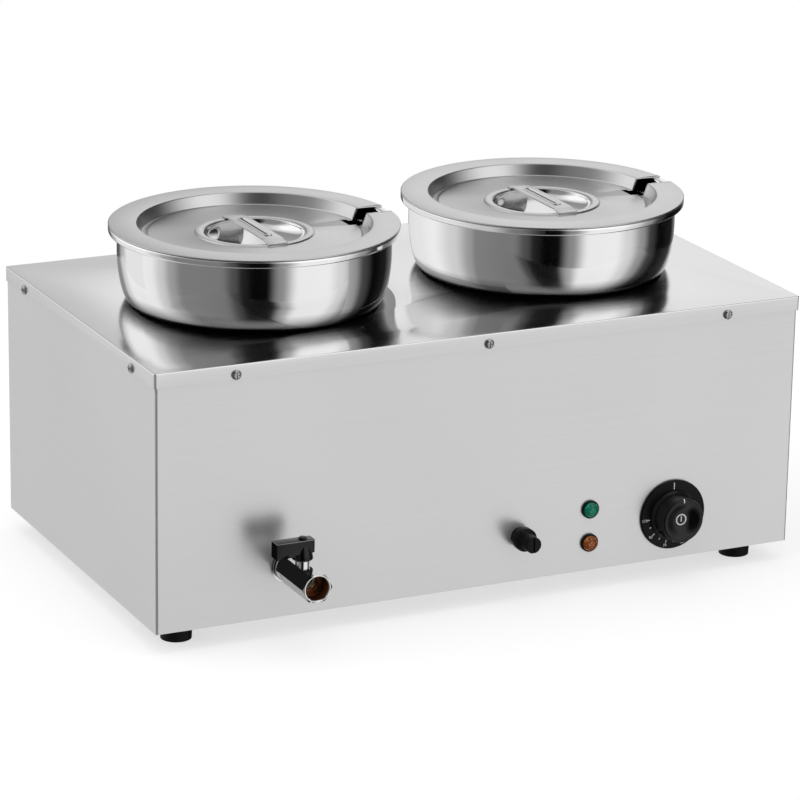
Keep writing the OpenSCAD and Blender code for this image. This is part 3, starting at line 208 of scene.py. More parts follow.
def set_world(ambient):
    world = bpy.data.worlds.new("white_studio")
    bpy.context.scene.world = world
    world.use_nodes = True
    tree = world.node_tree
    tree.nodes.clear()
    out = tree.nodes.new("ShaderNodeOutputWorld")
    mix = tree.nodes.new("ShaderNodeMixShader")
    lit = tree.nodes.new("ShaderNodeBackground")
    lit.inputs["Color"].default_value = (*grey(1), 1)
    lit.inputs["Strength"].default_value = ambient
    shown = tree.nodes.new("ShaderNodeBackground")
    white = seen_by(tree, "Is Camera Ray", "Is Transmission Ray")
    tree.links.new(blend_colours(tree, white, studio_seen_in_steel(tree), grey(1)), shown.inputs["Color"])
    shown.inputs["Strength"].default_value = 1.0
    tree.links.new(seen_by(tree, "Is Camera Ray", "Is Glossy Ray", "Is Transmission Ray"), mix.inputs[0])
    tree.links.new(lit.outputs[0], mix.inputs[1])
    tree.links.new(shown.outputs[0], mix.inputs[2])
    tree.links.new(mix.outputs[0], out.inputs["Surface"])


def stage_piece(name, bm, material):
    """A piece of the stage, which is no part of the object."""
    mesh = bpy.data.meshes.new(name)
    bm.to_mesh(mesh)
    bm.free()
    mesh.materials.append(material)
    piece = bpy.data.objects.new(name, mesh)
    bpy.context.scene.collection.objects.link(piece)
    return piece


def make_floor(material, low, high):
    bm = bmesh.new()
    bmesh.ops.create_grid(bm, x_segments=1, y_segments=1, size=0.5)
    bmesh.ops.scale(bm, verts=bm.verts[:], vec=(high[0] - low[0], high[1] - low[1], 1))
    bmesh.ops.translate(bm, verts=bm.verts[:], vec=((low[0] + high[0]) / 2, (low[1] + high[1]) / 2, 0))
    floor = stage_piece("floor", bm, material)
    floor.visible_glossy = False


def bare_material(name):
    material = bpy.data.materials.new(name)
    material.use_nodes = True
    tree = material.node_tree
    tree.nodes.clear()
    return material, tree, tree.nodes.new("ShaderNodeOutputMaterial")


def show_front(tree, shader, out):
    """The shader on a card's front, and nothing on its back."""
    clear = tree.nodes.new("ShaderNodeBsdfTransparent")
    side = tree.nodes.new("ShaderNodeNewGeometry")
    mix = tree.nodes.new("ShaderNodeMixShader")
    tree.links.new(side.outputs["Backfacing"], mix.inputs[0])
    tree.links.new(shader.outputs[0], mix.inputs[1])
    tree.links.new(clear.outputs[0], mix.inputs[2])
    tree.links.new(mix.outputs[0], out.inputs["Surface"])


def hide_but_for_gloss(card):
    """Only rays that a glossy surface mirrors see the card."""
    card.visible_camera = card.visible_diffuse = card.visible_shadow = card.visible_transmission = False


def floor_material(tone, lift):
    """A pale floor whose lit colour is lifted to white where it is seen, so that only shadows show."""
    material, tree, out = bare_material("white_floor")
    paint = tree.nodes.new("ShaderNodeBsdfDiffuse")
    paint.inputs["Color"].default_value = (*grey(tone), 1)
    glow = tree.nodes.new("ShaderNodeEmission")
    white = seen_by(tree, "Is Camera Ray", "Is Glossy Ray", "Is Transmission Ray")
    tree.links.new(maths(tree, "MULTIPLY", white, lift), glow.inputs["Strength"])
    add = tree.nodes.new("ShaderNodeAddShader")
    tree.links.new(paint.outputs[0], add.inputs[0])
    tree.links.new(glow.outputs[0], add.inputs[1])
    tree.links.new(add.outputs[0], out.inputs["Surface"])
    return material


def soft_lamp(name, place, aim, size, watts):
    data = bpy.data.lights.new(name, "AREA")
    data.shape = "RECTANGLE"
    data.size, data.size_y = size
    data.energy = watts
    lamp = bpy.data.objects.new(name, data)
    lamp.visible_glossy = False
    facing = (Vector(aim) - Vector(place)).to_track_quat("-Z", "Y")
    lamp.matrix_world = Matrix.Translation(place) @ facing.to_matrix().to_4x4()
    bpy.context.scene.collection.objects.link(lamp)


# A card beside a pot: how far from the pot's axis, and its lower and upper edge
CARD_AWAY, CARD_LOW, CARD_HIGH = 124.0, DECK_Z + 0.3, RIM_Z - 6.7
RIM_CARD_AWAY, RIM_CARD_LOW, RIM_CARD_HIGH = 131.0, RIM_Z - 9.0, RIM_Z + 2.0
FACET_CARD_GAP = 1.5


def close_card(name, x, start, end, tones, away=CARD_AWAY, low=CARD_LOW, high=CARD_HIGH):
    """A curved card beside a pot. Its inner face has tones by degrees from BAND_START, its back is not seen."""
    bm = bmesh.new()
    foot = bend(x, MID_Y, away, away, BAND_START + start, BAND_START + end, 40)
    draw_out(bm, wire(bm, [(px * MM, py * MM, low * MM) for px, py in foot]), (0, 0, (high - low) * MM))
    for face in bm.faces:
        face.normal_update()
        middle = face.calc_center_median()
        if face.normal.dot(Vector((middle.x - x * MM, middle.y - MID_Y * MM, 0))) > 0:
            face.normal_flip()
    material, tree, out = bare_material(name)
    place = tree.nodes.new("ShaderNodeTexCoord")
    centre = tree.nodes.new("ShaderNodeVectorMath")
    centre.operation = "SUBTRACT"
    centre.inputs[1].default_value = (x * MM, MID_Y * MM, 0)
    tree.links.new(place.outputs["Object"], centre.inputs[0])
    face = tree.nodes.new("ShaderNodeEmission")
    tree.links.new(band_ramp(tree, share_round(tree, centre.outputs[0]), tones), face.inputs["Color"])
    show_front(tree, face, out)
    hide_but_for_gloss(stage_piece(name, bm, material))


def facet_card(name, low, high, tone):
    """A flat card just off the casing's front, from one corner to the other. Its back is not seen."""
    bm = bmesh.new()
    bmesh.ops.create_grid(bm, x_segments=1, y_segments=1, size=0.5)
    bmesh.ops.rotate(bm, verts=bm.verts[:], matrix=Matrix.Rotation(math.pi / 2, 3, "X"))
    bmesh.ops.scale(bm, verts=bm.verts[:], vec=(high[0] - low[0], 1, high[1] - low[1]))
    middle = ((low[0] + high[0]) / 2, FRONT_Y - FACET_CARD_GAP, (low[1] + high[1]) / 2)
    bmesh.ops.translate(bm, verts=bm.verts[:], vec=middle)
    bm.transform(Matrix.Scale(MM, 4))
    material, tree, out = bare_material(name)
    face = tree.nodes.new("ShaderNodeEmission")
    face.inputs["Color"].default_value = (*grey(tone), 1)
    show_front(tree, face, out)
    hide_but_for_gloss(stage_piece(name, bm, material))


def set_stage():
    bpy.context.scene.view_settings.view_transform = "Standard"
    set_world(ambient=0.70)
    make_floor(floor_material(tone=0.5, lift=0.62), low=(-0.80, -0.60), high=(0.95, 0.95))
    soft_lamp("top_softbox", place=(-0.5, -0.4, 2.4), aim=(0, 0, 0.1), size=(2.4, 2.0), watts=11)
    soft_lamp("left_softbox", place=(-2.4, 0.6, 1.6), aim=(0, 0, 0.2), size=(1.4, 1.8), watts=6)
    # Between the pots each has a card close to its side, seen in that pot alone
    close_card("dark_card", -POT_X, 150, 240,
               [(150, 0.42), (153, 0.34), (160, 0.06), (168, 0.003), (180, 0.012), (190, 0.10), (201, 0.30),
                (240, 0.40)])
    close_card("pale_card", POT_X, 10, 86,
               [(14, 0.80), (33, 0.88), (47, 0.97), (61, 0.70), (70, 0.36), (73, 0.24), (86, 0.21)])
    # The right pot's rim has its own, which fades out towards the front
    close_card("rim_card", POT_X, 20, 104, [(20, 0.80), (60, 0.85), (80, 0.60), (92, 0.20), (104, 0.02)],
               RIM_CARD_AWAY, RIM_CARD_LOW, RIM_CARD_HIGH)
    # The upper facet of the valve's hexagon mirrors this one
    facet_card("valve_card", (VALVE_X - 56, VALVE_Z - 2), (VALVE_X - 7, VALVE_Z + 32), 0.012)


# ---------------------------------------------------------------- effects shared by the finishes

def new_group(name, inputs, outputs):
    group = bpy.data.node_groups.new(name, "ShaderNodeTree")
    for label, kind, value in inputs:
        socket = group.interface.new_socket(label, in_out="INPUT", socket_type=kind)
        if value is not None:
            socket.default_value = value
    for label, kind in outputs:
        group.interface.new_socket(label, in_out="OUTPUT", socket_type=kind)
    start = group.nodes.new("NodeGroupInput")
    end = group.nodes.new("NodeGroupOutput")
    return group, start, end


def noise(tree, vector, scale, detail=2.0):
    node = tree.nodes.new("ShaderNodeTexNoise")
    node.inputs["Scale"].default_value = scale
    node.inputs["Detail"].default_value = detail
    tree.links.new(vector, node.inputs["Vector"])
    return node.outputs["Fac"]


def make_brushed_group():
    """Fine parallel lines. Stretch is small along the lines and large across them."""
    group, start, end = new_group(
        "brushed_lines",
        [("Vector", "NodeSocketVector", None), ("Stretch", "NodeSocketVector", (1, 1, 1))],
        [("Lines", "NodeSocketFloat"), ("Clouds", "NodeSocketFloat")])
    stretch = group.nodes.new("ShaderNodeVectorMath")
    stretch.operation = "MULTIPLY"
    group.links.new(start.outputs["Vector"], stretch.inputs[0])
    group.links.new(start.outputs["Stretch"], stretch.inputs[1])
    group.links.new(noise(group, stretch.outputs[0], scale=1.0, detail=0.0), end.inputs["Lines"])
    group.links.new(noise(group, start.outputs["Vector"], scale=4.5, detail=1.0), end.inputs["Clouds"])
    return group


def make_turned_group():
    """Fine rings round the vertical axis of the vector and up its walls, as a buffing wheel leaves them."""
    group, start, end = new_group(
        "turned_rings",
        [("Vector", "NodeSocketVector", None), ("Fineness", "NodeSocketFloat", 1500.0)],
        [("Rings", "NodeSocketFloat"), ("Clouds", "NodeSocketFloat")])
    flatten = group.nodes.new("ShaderNodeVectorMath")
    flatten.operation = "MULTIPLY"
    flatten.inputs[1].default_value = (1, 1, 0)
    length = group.nodes.new("ShaderNodeVectorMath")
    length.operation = "LENGTH"
    group.links.new(start.outputs["Vector"], flatten.inputs[0])
    group.links.new(flatten.outputs[0], length.inputs[0])
    rings = group.nodes.new("ShaderNodeTexNoise")
    rings.noise_dimensions = "1D"
    rings.inputs["Scale"].default_value = 1.0
    rings.inputs["Detail"].default_value = 2.0
    parts = group.nodes.new("ShaderNodeSeparateXYZ")
    group.links.new(start.outputs["Vector"], parts.inputs[0])
    along = maths(group, "ADD", length.outputs["Value"], parts.outputs["Z"])
    group.links.new(maths(group, "MULTIPLY", along, start.outputs["Fineness"]), rings.inputs["W"])
    group.links.new(rings.outputs["Fac"], end.inputs["Rings"])
    group.links.new(noise(group, start.outputs["Vector"], scale=14.0), end.inputs["Clouds"])
    return group


def make_grain_group():
    """The fine skin of a moulded or cast surface, with larger uneven patches."""
    group, start, end = new_group(
        "moulded_grain",
        [("Vector", "NodeSocketVector", None), ("Fineness", "NodeSocketFloat", 900.0)],
        [("Grain", "NodeSocketFloat"), ("Patches", "NodeSocketFloat")])
    grain = group.nodes.new("ShaderNodeTexNoise")
    grain.inputs["Detail"].default_value = 3.0
    group.links.new(start.outputs["Vector"], grain.inputs["Vector"])
    group.links.new(start.outputs["Fineness"], grain.inputs["Scale"])
    group.links.new(grain.outputs["Fac"], end.inputs["Grain"])
    group.links.new(noise(group, start.outputs["Vector"], scale=60.0), end.inputs["Patches"])
    return group


BRUSHED = make_brushed_group()
TURNED = make_turned_group()
GRAIN = make_grain_group()


# ---------------------------------------------------------------- finishes

class Finish:
    """A material with one Principled shader, and helpers to feed its sockets."""

    def __init__(self, name, metallic, **sockets):
        self.material = bpy.data.materials.new(name)
        self.material.use_nodes = True
        self.tree = self.material.node_tree
        self.shader = self.tree.nodes["Principled BSDF"]
        self.shader.inputs["Metallic"].default_value = metallic
        for label, value in sockets.items():
            self.shader.inputs[label.replace("_", " ")].default_value = value
        self.coordinates = self.tree.nodes.new("ShaderNodeTexCoord")

    def place(self, centre=(0, 0, 0)):
        """Object coordinates about a centre in millimetres."""
        mapping = self.tree.nodes.new("ShaderNodeMapping")
        mapping.vector_type = "TEXTURE"
        mapping.inputs["Location"].default_value = [c * MM for c in centre]
        self.tree.links.new(self.coordinates.outputs["Object"], mapping.inputs["Vector"])
        return mapping.outputs["Vector"]

    def group(self, group, vector, **values):
        node = self.tree.nodes.new("ShaderNodeGroup")
        node.node_tree = group
        self.tree.links.new(vector, node.inputs["Vector"])
        for label, value in values.items():
            node.inputs[label].default_value = value
        return node

    def tint(self, factor, dark, light):
        """Base colour between dark and light."""
        colour = blend_colours(self.tree, factor, dark, light)
        self.tree.links.new(colour, self.shader.inputs["Base Color"])
        return colour

    def rough(self, factor, low, high):
        """Roughness between low and high."""
        self.tree.links.new(spread(self.tree, factor, low, high), self.shader.inputs["Roughness"])

    def bump(self, height, depth):
        """Relief of this depth in millimetres."""
        node = self.tree.nodes.new("ShaderNodeBump")
        node.inputs["Distance"].default_value = depth * MM
        self.tree.links.new(height, node.inputs["Height"])
        self.tree.links.new(node.outputs["Normal"], self.shader.inputs["Normal"])


# The makers below take a dark and a light colour, a low and a high roughness, and the relief's depth in
# millimetres. Noise that spans this much runs from the dark colour to the light one.
TINT_SPAN = (0.3, 0.7)
# How much of a brushed colour comes from its lines. The rest comes from the clouds under them.
LINES_SHARE = 0.35
# Heights about the deck, in metres, over which the painted shade, a dark ring round a pot, comes and goes
PAINTED_SHADE_BELOW, PAINTED_SHADE_ABOVE = (-0.014, -0.004), (0.003, 0.016)


def brushed_steel(name, metallic, stretch, dark, light, low, high, depth):
    finish = Finish(name, metallic)
    lines = finish.group(BRUSHED, finish.place(), Stretch=stretch)
    mixed = maths(finish.tree, "ADD",
                  maths(finish.tree, "MULTIPLY", lines.outputs["Lines"], LINES_SHARE),
                  maths(finish.tree, "MULTIPLY", lines.outputs["Clouds"], 1 - LINES_SHARE))
    finish.tint(spread(finish.tree, mixed, 0.0, 1.0, *TINT_SPAN), dark, light)
    finish.rough(lines.outputs["Lines"], low, high)
    finish.bump(lines.outputs["Lines"], depth)
    return finish.material


def turned_steel(name, centre, fineness, dark, light, low, high, depth):
    finish = Finish(name, 1.0)
    rings = finish.group(TURNED, finish.place(centre), Fineness=fineness)
    finish.tint(spread(finish.tree, rings.outputs["Rings"], 0.0, 1.0, *TINT_SPAN), dark, light)
    finish.rough(rings.outputs["Clouds"], low, high)
    finish.bump(rings.outputs["Rings"], depth)
    return finish.material


def pot_polish(name, centre):
    """Mirror polish, with painted shade: a dark ring in its colour where the pot sits in the hot well."""
    finish = Finish(name, 1.0)
    vector = finish.place(centre)
    rings = finish.group(TURNED, vector, Fineness=1800.0)
    parts = finish.tree.nodes.new("ShaderNodeSeparateXYZ")
    finish.tree.links.new(vector, parts.inputs[0])
    # A ring of painted shade, darkest from just below the deck to just above it
    above = spread(finish.tree, parts.outputs["Z"], 1.0, 0.0, *PAINTED_SHADE_ABOVE)
    below = spread(finish.tree, parts.outputs["Z"], 0.0, 1.0, *PAINTED_SHADE_BELOW)
    ring = maths(finish.tree, "MULTIPLY", above, below)
    rings_and_painted_shade = maths(finish.tree, "SUBTRACT", maths(finish.tree, "MULTIPLY", rings.outputs["Rings"], 0.1), ring)
    finish.tint(spread(finish.tree, rings_and_painted_shade, 0.0, 1.0, -1.0, 0.05), grey(0.03), grey(0.86))
    finish.rough(rings.outputs["Clouds"], 0.055, 0.085)
    finish.bump(rings.outputs["Rings"], 0.0004)
    return finish.material


def grained(name, metallic, dark, light, low, high, depth, fineness=900.0, **sockets):
    finish = Finish(name, metallic, **sockets)
    grain = finish.group(GRAIN, finish.place(), Fineness=fineness)
    finish.tint(spread(finish.tree, grain.outputs["Patches"], 0.0, 1.0, *TINT_SPAN), dark, light)
    finish.rough(grain.outputs["Grain"], low, high)
    finish.bump(grain.outputs["Grain"], depth)
    return finish.material


CASING_STEEL = brushed_steel("casing_brushed_steel", 0.7, (5, 5, 1500), grey(0.69), grey(0.74), 0.28, 0.32, 0.008)
DECK_STEEL = brushed_steel("deck_brushed_steel", 1.0, (5, 1500, 1500), grey(0.72), grey(0.78), 0.12, 0.18, 0.008)
INNER_STEEL = brushed_steel("inner_rolled_steel", 1.0, (5, 900, 900), grey(0.45), grey(0.55), 0.32, 0.42, 0.04)
ZINC = grained("zinc_plated_steel", 1.0, grey(0.36), grey(0.50), 0.25, 0.40, 0.02)
CHROME = grained("chrome_plate", 1.0, grey(0.74), grey(0.80), 0.04, 0.08, 0.002, 300.0)
BRASS = grained("turned_brass", 1.0, (0.50, 0.27, 0.12), (0.68, 0.42, 0.20), 0.22, 0.38, 0.02)
BORE_BRASS = grained("dull_brass_bore", 1.0, (0.20, 0.085, 0.040), (0.36, 0.17, 0.085), 0.28, 0.45, 0.03)
COPPER = grained("drawn_copper", 1.0, (0.62, 0.30, 0.18), (0.78, 0.42, 0.27), 0.25, 0.38, 0.02)
SHEATH = grained("heater_sheath", 1.0, grey(0.22), grey(0.32), 0.40, 0.55, 0.03)
BLACK_PLASTIC = grained("black_moulded_plastic", 0.0, grey(0.005), grey(0.009), 0.32, 0.44, 0.03, 1400.0,
                        Specular_IOR_Level=0.12)
SATIN_BLACK = grained("black_satin_plastic", 0.0, grey(0.003), grey(0.006), 0.26, 0.36, 0.010, 1600.0,
                     Specular_IOR_Level=0.12)
BLACK_GLOSS = grained("black_glossy_plastic", 0.0, grey(0.002), grey(0.004), 0.05, 0.09, 0.002, 700.0,
                     Specular_IOR_Level=0.30)
KNOB_BLACK = grained("black_knob_plastic", 0.0, grey(0.003), grey(0.006), 0.18, 0.25, 0.010, 1600.0,
                    Specular_IOR_Level=0.30)
# A lighter grey for the lever's top bevels: a painted highlight along its edge
EDGE_HIGHLIGHT_PAINT = grained("painted_edge_highlight", 0.0, grey(0.26), grey(0.36), 0.20, 0.30, 0.004, 700.0)
BLACK_SCREW = grained("blackened_screw", 1.0, grey(0.03), grey(0.06), 0.22, 0.34, 0.01)
RUBBER = grained("black_rubber", 0.0, grey(0.006), grey(0.012), 0.55, 0.70, 0.06, 1100.0,
                 Specular_IOR_Level=0.15)
WHITE_PRINT = grained("white_dial_print", 0.0, grey(0.78), grey(0.88), 0.40, 0.50, 0.01)
WHITE_PLASTIC = grained("white_heatproof_plastic", 0.0, (0.72, 0.70, 0.63), (0.80, 0.78, 0.71), 0.40, 0.50, 0.03)
SEAT_PLASTIC = grained("valve_seat_plastic", 0.0, grey(0.80), grey(0.86), 0.35, 0.45, 0.02)
PHENOLIC = grained("brown_phenolic", 0.0, (0.10, 0.035, 0.016), (0.15, 0.055, 0.025), 0.35, 0.50, 0.04)
WIRE_RED = grained("red_silicone_wire", 0.0, (0.30, 0.02, 0.015), (0.40, 0.03, 0.02), 0.45, 0.55, 0.03)
FUSE_GLASS = grained("fuse_glass", 0.0, (0.75, 0.82, 0.84), (0.80, 0.86, 0.88), 0.04, 0.08, 0.002,
                     Transmission_Weight=0.8)


def lamp_lens(name, deep, bright, centre):
    """A clear coloured lens with moulded prisms, whose glints are painted: its colour and a faint glow are brighter
    at each prism's middle.
    """
    finish = Finish(name, 0.0, Roughness=0.12, Specular_IOR_Level=0.15, Coat_Weight=0.25, Coat_Roughness=0.06)
    vector = finish.place(centre)
    prisms = finish.tree.nodes.new("ShaderNodeTexVoronoi")
    prisms.inputs["Scale"].default_value = 480.0
    prisms.inputs["Randomness"].default_value = 0.55
    finish.tree.links.new(vector, prisms.inputs["Vector"])
    grain = finish.group(GRAIN, vector, Fineness=420.0)
    # Painted glints: brighter colour and glow towards each prism's middle
    painted_glints = maths(finish.tree, "MULTIPLY", spread(finish.tree, prisms.outputs["Distance"], 1.0, 0.0, 0.05, 0.5),
                    spread(finish.tree, grain.outputs["Grain"], 0.45, 1.0, 0.4, 0.6))
    finish.tree.links.new(finish.tint(painted_glints, deep, bright), finish.shader.inputs["Emission Color"])
    finish.shader.inputs["Emission Strength"].default_value = 0.12
    finish.bump(prisms.outputs["Distance"], 0.25)
    return finish.material


GREEN_LENS = lamp_lens("green_lens", (0.002, 0.13, 0.075), (0.03, 0.62, 0.40),
                       (LAMP_X, FRONT_Y, CONTROL_Z + LAMP_RISE))
AMBER_LENS = lamp_lens("amber_lens", (0.20, 0.045, 0.006), (0.95, 0.42, 0.15),
                       (LAMP_X, FRONT_Y, CONTROL_Z - LAMP_RISE))


def finish_nodes(material, *names):
    """Gives CAD nodes their finish."""
    for name in names:
        node = nodes[name]
        if not node.material_slots:
            node.data.materials.append(material)
        for place in node.material_slots:
            place.material = material


finish_nodes(CASING_STEEL, "casing_wrap", "rear_panel")
finish_nodes(DECK_STEEL, "top_deck")
finish_nodes(INNER_STEEL, "base_pan", "water_tank", "element_rests")
finish_nodes(ZINC, "casing_screws", "base_screws", "foot_screws", "thermostat_screws",
             "thermostat_shaft", "lamp_nuts", "fuse_holder_nut")
finish_nodes(CHROME, "valve_escutcheon", "valve_body", "packing_nut", "valve_ball", "valve_stem")
finish_nodes(BRASS, "drain_elbow", "drain_nut", "drain_pipe", "drain_locknut", "seat_retainer",
             "element_nuts", "element_terminals", "capillary_gland", "earth_stud")
finish_nodes(BLACK_SCREW, "lever_screw")
finish_nodes(COPPER, "thermostat_capillary", "sensor_bulb")
finish_nodes(SHEATH, "heating_element")
finish_nodes(SEAT_PLASTIC, "valve_seats")
finish_nodes(BLACK_PLASTIC, "fuse_holder", "fuse_cap", "green_lamp_bezel", "amber_lamp_bezel",
             "cable_gland", "gland_nut", "dial_plate", "dial_knob")
finish_nodes(BLACK_GLOSS, "valve_lever")
finish_nodes(RUBBER, "feet")
finish_nodes(WHITE_PRINT, "dial_marks", "knob_marks")
finish_nodes(WHITE_PLASTIC, "lamp_bodies", "terminal_block", "thermostat_body")
finish_nodes(GREEN_LENS, "green_lamp_lens")
finish_nodes(AMBER_LENS, "amber_lamp_lens")
finish_nodes(FUSE_GLASS, "fuse_link")
finish_nodes(PHENOLIC, "overheat_cutout")
finish_nodes(WIRE_RED, "wiring")


# ---------------------------------------------------------------- ways of making a piece

# Points this close are one, in millimetres. Those of a CAD node are less exact.
AS_ONE, NODE_AS_ONE = 1e-4, 2e-3


def on_front(x, z):
    """Local x to the right, y up and z outwards, on the casing's front."""
    return Matrix.Translation((x, FRONT_Y, z)) @ Matrix.Rotation(math.pi / 2, 4, "X")


def upright(x, y, z):
    return Matrix.Translation((x, y, z))


def turned(points, steps=96):
    """A line of (radius, height) points turned once round the axis, with its seam and poles closed."""
    bm = bmesh.new()
    wire(bm, [(r, 0, z) for r, z in points])
    bmesh.ops.spin(bm, geom=bm.verts[:] + bm.edges[:], cent=(0, 0, 0), axis=(0, 0, 1), angle=TURN,
                   steps=steps, use_merge=True)
    bmesh.ops.remove_doubles(bm, verts=bm.verts[:], dist=AS_ONE)
    bmesh.ops.recalc_face_normals(bm, faces=bm.faces[:])
    return bm


def cut_hexagon(bm, flats):
    """Cuts six flats round a turned piece, one of them across local y."""
    for turn in range(6):
        angle = math.radians(30 + 60 * turn)
        normal = Vector((math.cos(angle), math.sin(angle), 0))
        cut = bmesh.ops.bisect_plane(bm, geom=bm.verts[:] + bm.edges[:] + bm.faces[:], dist=AS_ONE,
                                     plane_co=normal * (flats / 2), plane_no=normal, clear_outer=True)
        bmesh.ops.edgeloop_fill(bm, edges=[e for e in cut["geom_cut"] if isinstance(e, bmesh.types.BMEdge)])
    bmesh.ops.recalc_face_normals(bm, faces=bm.faces[:])


def make_piece(name, bm, place, materials, body, stands_for=(), sharp=35):
    """Puts a piece modelled in millimetres at its place, on its body, and in the stead of its CAD nodes."""
    bm.transform(Matrix.Scale(MM, 4) @ place)
    mesh = bpy.data.meshes.new(name)
    bm.to_mesh(mesh)
    bm.free()
    for material in materials if isinstance(materials, (list, tuple)) else [materials]:
        mesh.materials.append(material)
    mesh.shade_smooth()
    mesh.set_sharp_from_angle(angle=math.radians(sharp))
    made = bpy.data.objects.new(name, mesh)
    bpy.context.scene.collection.objects.link(made)
    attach(made, body)
    if stands_for:
        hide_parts(*stands_for)
    return made


def soften(bm, edges, width, segments=3):
    """Rounds edges."""
    bmesh.ops.bevel(bm, geom=edges, offset=width, offset_type="OFFSET", segments=segments, profile=0.5,
                    affect="EDGES", clamp_overlap=True, material=-1)


def sharp_edges(bm, degrees):
    limit = math.radians(degrees)
    return [e for e in bm.edges if len(e.link_faces) == 2 and e.calc_face_angle(0) > limit]


def soften_node(name, node, width, material, body, chosen, degrees=30, second=None):
    """Stands for a CAD node: a copy with its chosen sharp edges rounded, and a second material on some faces."""
    bm = bmesh.new()
    bm.from_mesh(nodes[node].data)
    bm.transform(Matrix.Scale(1 / MM, 4))
    bmesh.ops.remove_doubles(bm, verts=bm.verts[:], dist=NODE_AS_ONE)
    bmesh.ops.dissolve_limit(bm, angle_limit=math.radians(0.5), verts=bm.verts[:], edges=bm.edges[:])
    soften(bm, [e for e in sharp_edges(bm, degrees) if chosen(e)], width)
    for face in bm.faces if second else ():
        face.material_index = int(second(face))
    make_piece(name, bm, Matrix(), material, body, (node,))


def outside_front(edge):
    """Edges that stand out from the casing's front."""
    return all(v.co.y < FRONT_Y - 0.05 for v in edge.verts)


# ---------------------------------------------------------------- pots and lids

RIM_R, WALL_R, SEAT_R, LOW_R = 128.0, 120.5, 109.0, 103.5
POT_ABOVE, POT_BELOW = 67.5, 138.0
BELLY_H, POT_T, BOTTOM_R = 45.0, 1.0, 12.0
RIM_H, BEAD = 6.0, 1.7
LID_T, LID_TOP = 1.2, 1.4
WELL_R, FLOOR_R, STEP_Z, FLOOR_Z = 103.0, 94.0, -9.1, -7.9
RING_R, RING_H, DISH_R, DISH_DEPTH = 52.5, 1.4, 44.0, 14.0
NOTCH_X, NOTCH_W = 86.5, 20.0
SEAT_GAP = 0.2
POT_STEPS = 160


def pot_outline():
    """From the bottom's middle up the outside, over the rolled rim, and down the inside."""
    rim = POT_ABOVE - RIM_H
    return (
        [(0, -POT_BELOW)]
        + bend(LOW_R - BOTTOM_R, BOTTOM_R - POT_BELOW, BOTTOM_R, BOTTOM_R, -90, 0, 8)
        + [(LOW_R, -1.5), (LOW_R + 0.5, SEAT_GAP), (SEAT_R - 3, SEAT_GAP)]
        + bend(SEAT_R, SEAT_GAP + BELLY_H, WALL_R - SEAT_R, BELLY_H, -90, 0, 28)
        + [(WALL_R, rim - 1.2), (WALL_R, rim - 0.7), (WALL_R + 0.2, rim - 0.2), (WALL_R + 0.7, rim)]
        + bend(RIM_R - BEAD, rim + BEAD, BEAD, BEAD, -90, 0, 6)
        + bend(RIM_R - BEAD, POT_ABOVE - BEAD, BEAD, BEAD, 0, 90, 6)
        + [(WALL_R + 1, POT_ABOVE), (WALL_R - POT_T, POT_ABOVE - 1.2)]
        + bend(SEAT_R - POT_T, SEAT_GAP + BELLY_H, WALL_R - SEAT_R, BELLY_H - POT_T, 0, -90, 20)
        + [(LOW_R - POT_T, SEAT_GAP + POT_T)]
        + bend(LOW_R - BOTTOM_R, BOTTOM_R - POT_BELOW, BOTTOM_R - POT_T, BOTTOM_R - POT_T, 0, -90, 8)
        + [(0, POT_T - POT_BELOW)])


def lid_outline():
    """From the finger dish's middle over its ring, along the sunk floor, and up to the rim."""
    return (
        bend(0, FLOOR_Z, DISH_R, DISH_DEPTH, -90, 0, 18)
        + [(DISH_R + 0.6, FLOOR_Z + 0.5), (DISH_R + 1.6, FLOOR_Z + 1.1), (DISH_R + 2.6, FLOOR_Z + RING_H)]
        + [(RING_R - 1.4, FLOOR_Z + RING_H), (RING_R - 0.7, FLOOR_Z + 1.1)]
        + [(RING_R, FLOOR_Z + 0.3), (RING_R + 0.6, FLOOR_Z)]
        + [(FLOOR_R - 1.2, FLOOR_Z), (FLOOR_R - 0.2, FLOOR_Z - 0.15)]
        + [(FLOOR_R + 0.9, STEP_Z + 0.2), (FLOOR_R + 1.8, STEP_Z)]
        + bend(WELL_R - 4.6, STEP_Z + 1.4, 1.4, 1.4, -90, -18, 5)
        + bend(WELL_R + 1.5, LID_TOP - 1.6, 1.6, 1.6, 162, 90, 5)
        + [(RIM_R - 1.0, LID_TOP), (RIM_R - 0.4, LID_TOP - 0.15), (RIM_R, LID_TOP - 0.5)])


def cut_notch(bm):
    """Opens the ladle notch from the sunk floor out through the lid's edge."""
    half = NOTCH_W / 2
    for at, normal in (((NOTCH_X, 0, 0), (1, 0, 0)), ((0, half, 0), (0, 1, 0)), ((0, -half, 0), (0, 1, 0))):
        near = [f for f in bm.faces
                if max(v.co.x for v in f.verts) > NOTCH_X and min(abs(v.co.y) for v in f.verts) < half + 1]
        edges = list(dict.fromkeys(e for f in near for e in f.edges))
        verts = list(dict.fromkeys(v for f in near for v in f.verts))
        bmesh.ops.bisect_plane(bm, geom=verts + edges + near, dist=AS_ONE, plane_co=at, plane_no=normal)
    inside = [f for f in bm.faces
              if f.calc_center_median().x > NOTCH_X and abs(f.calc_center_median().y) < half]
    bmesh.ops.delete(bm, geom=inside, context="FACES")


def thicken(piece, thickness):
    """Gives a sheet its thickness, below the face that shows."""
    wall = piece.modifiers.new("sheet_thickness", "SOLIDIFY")
    wall.thickness = thickness * MM
    wall.offset = -1.0
    wall.use_even_offset = True


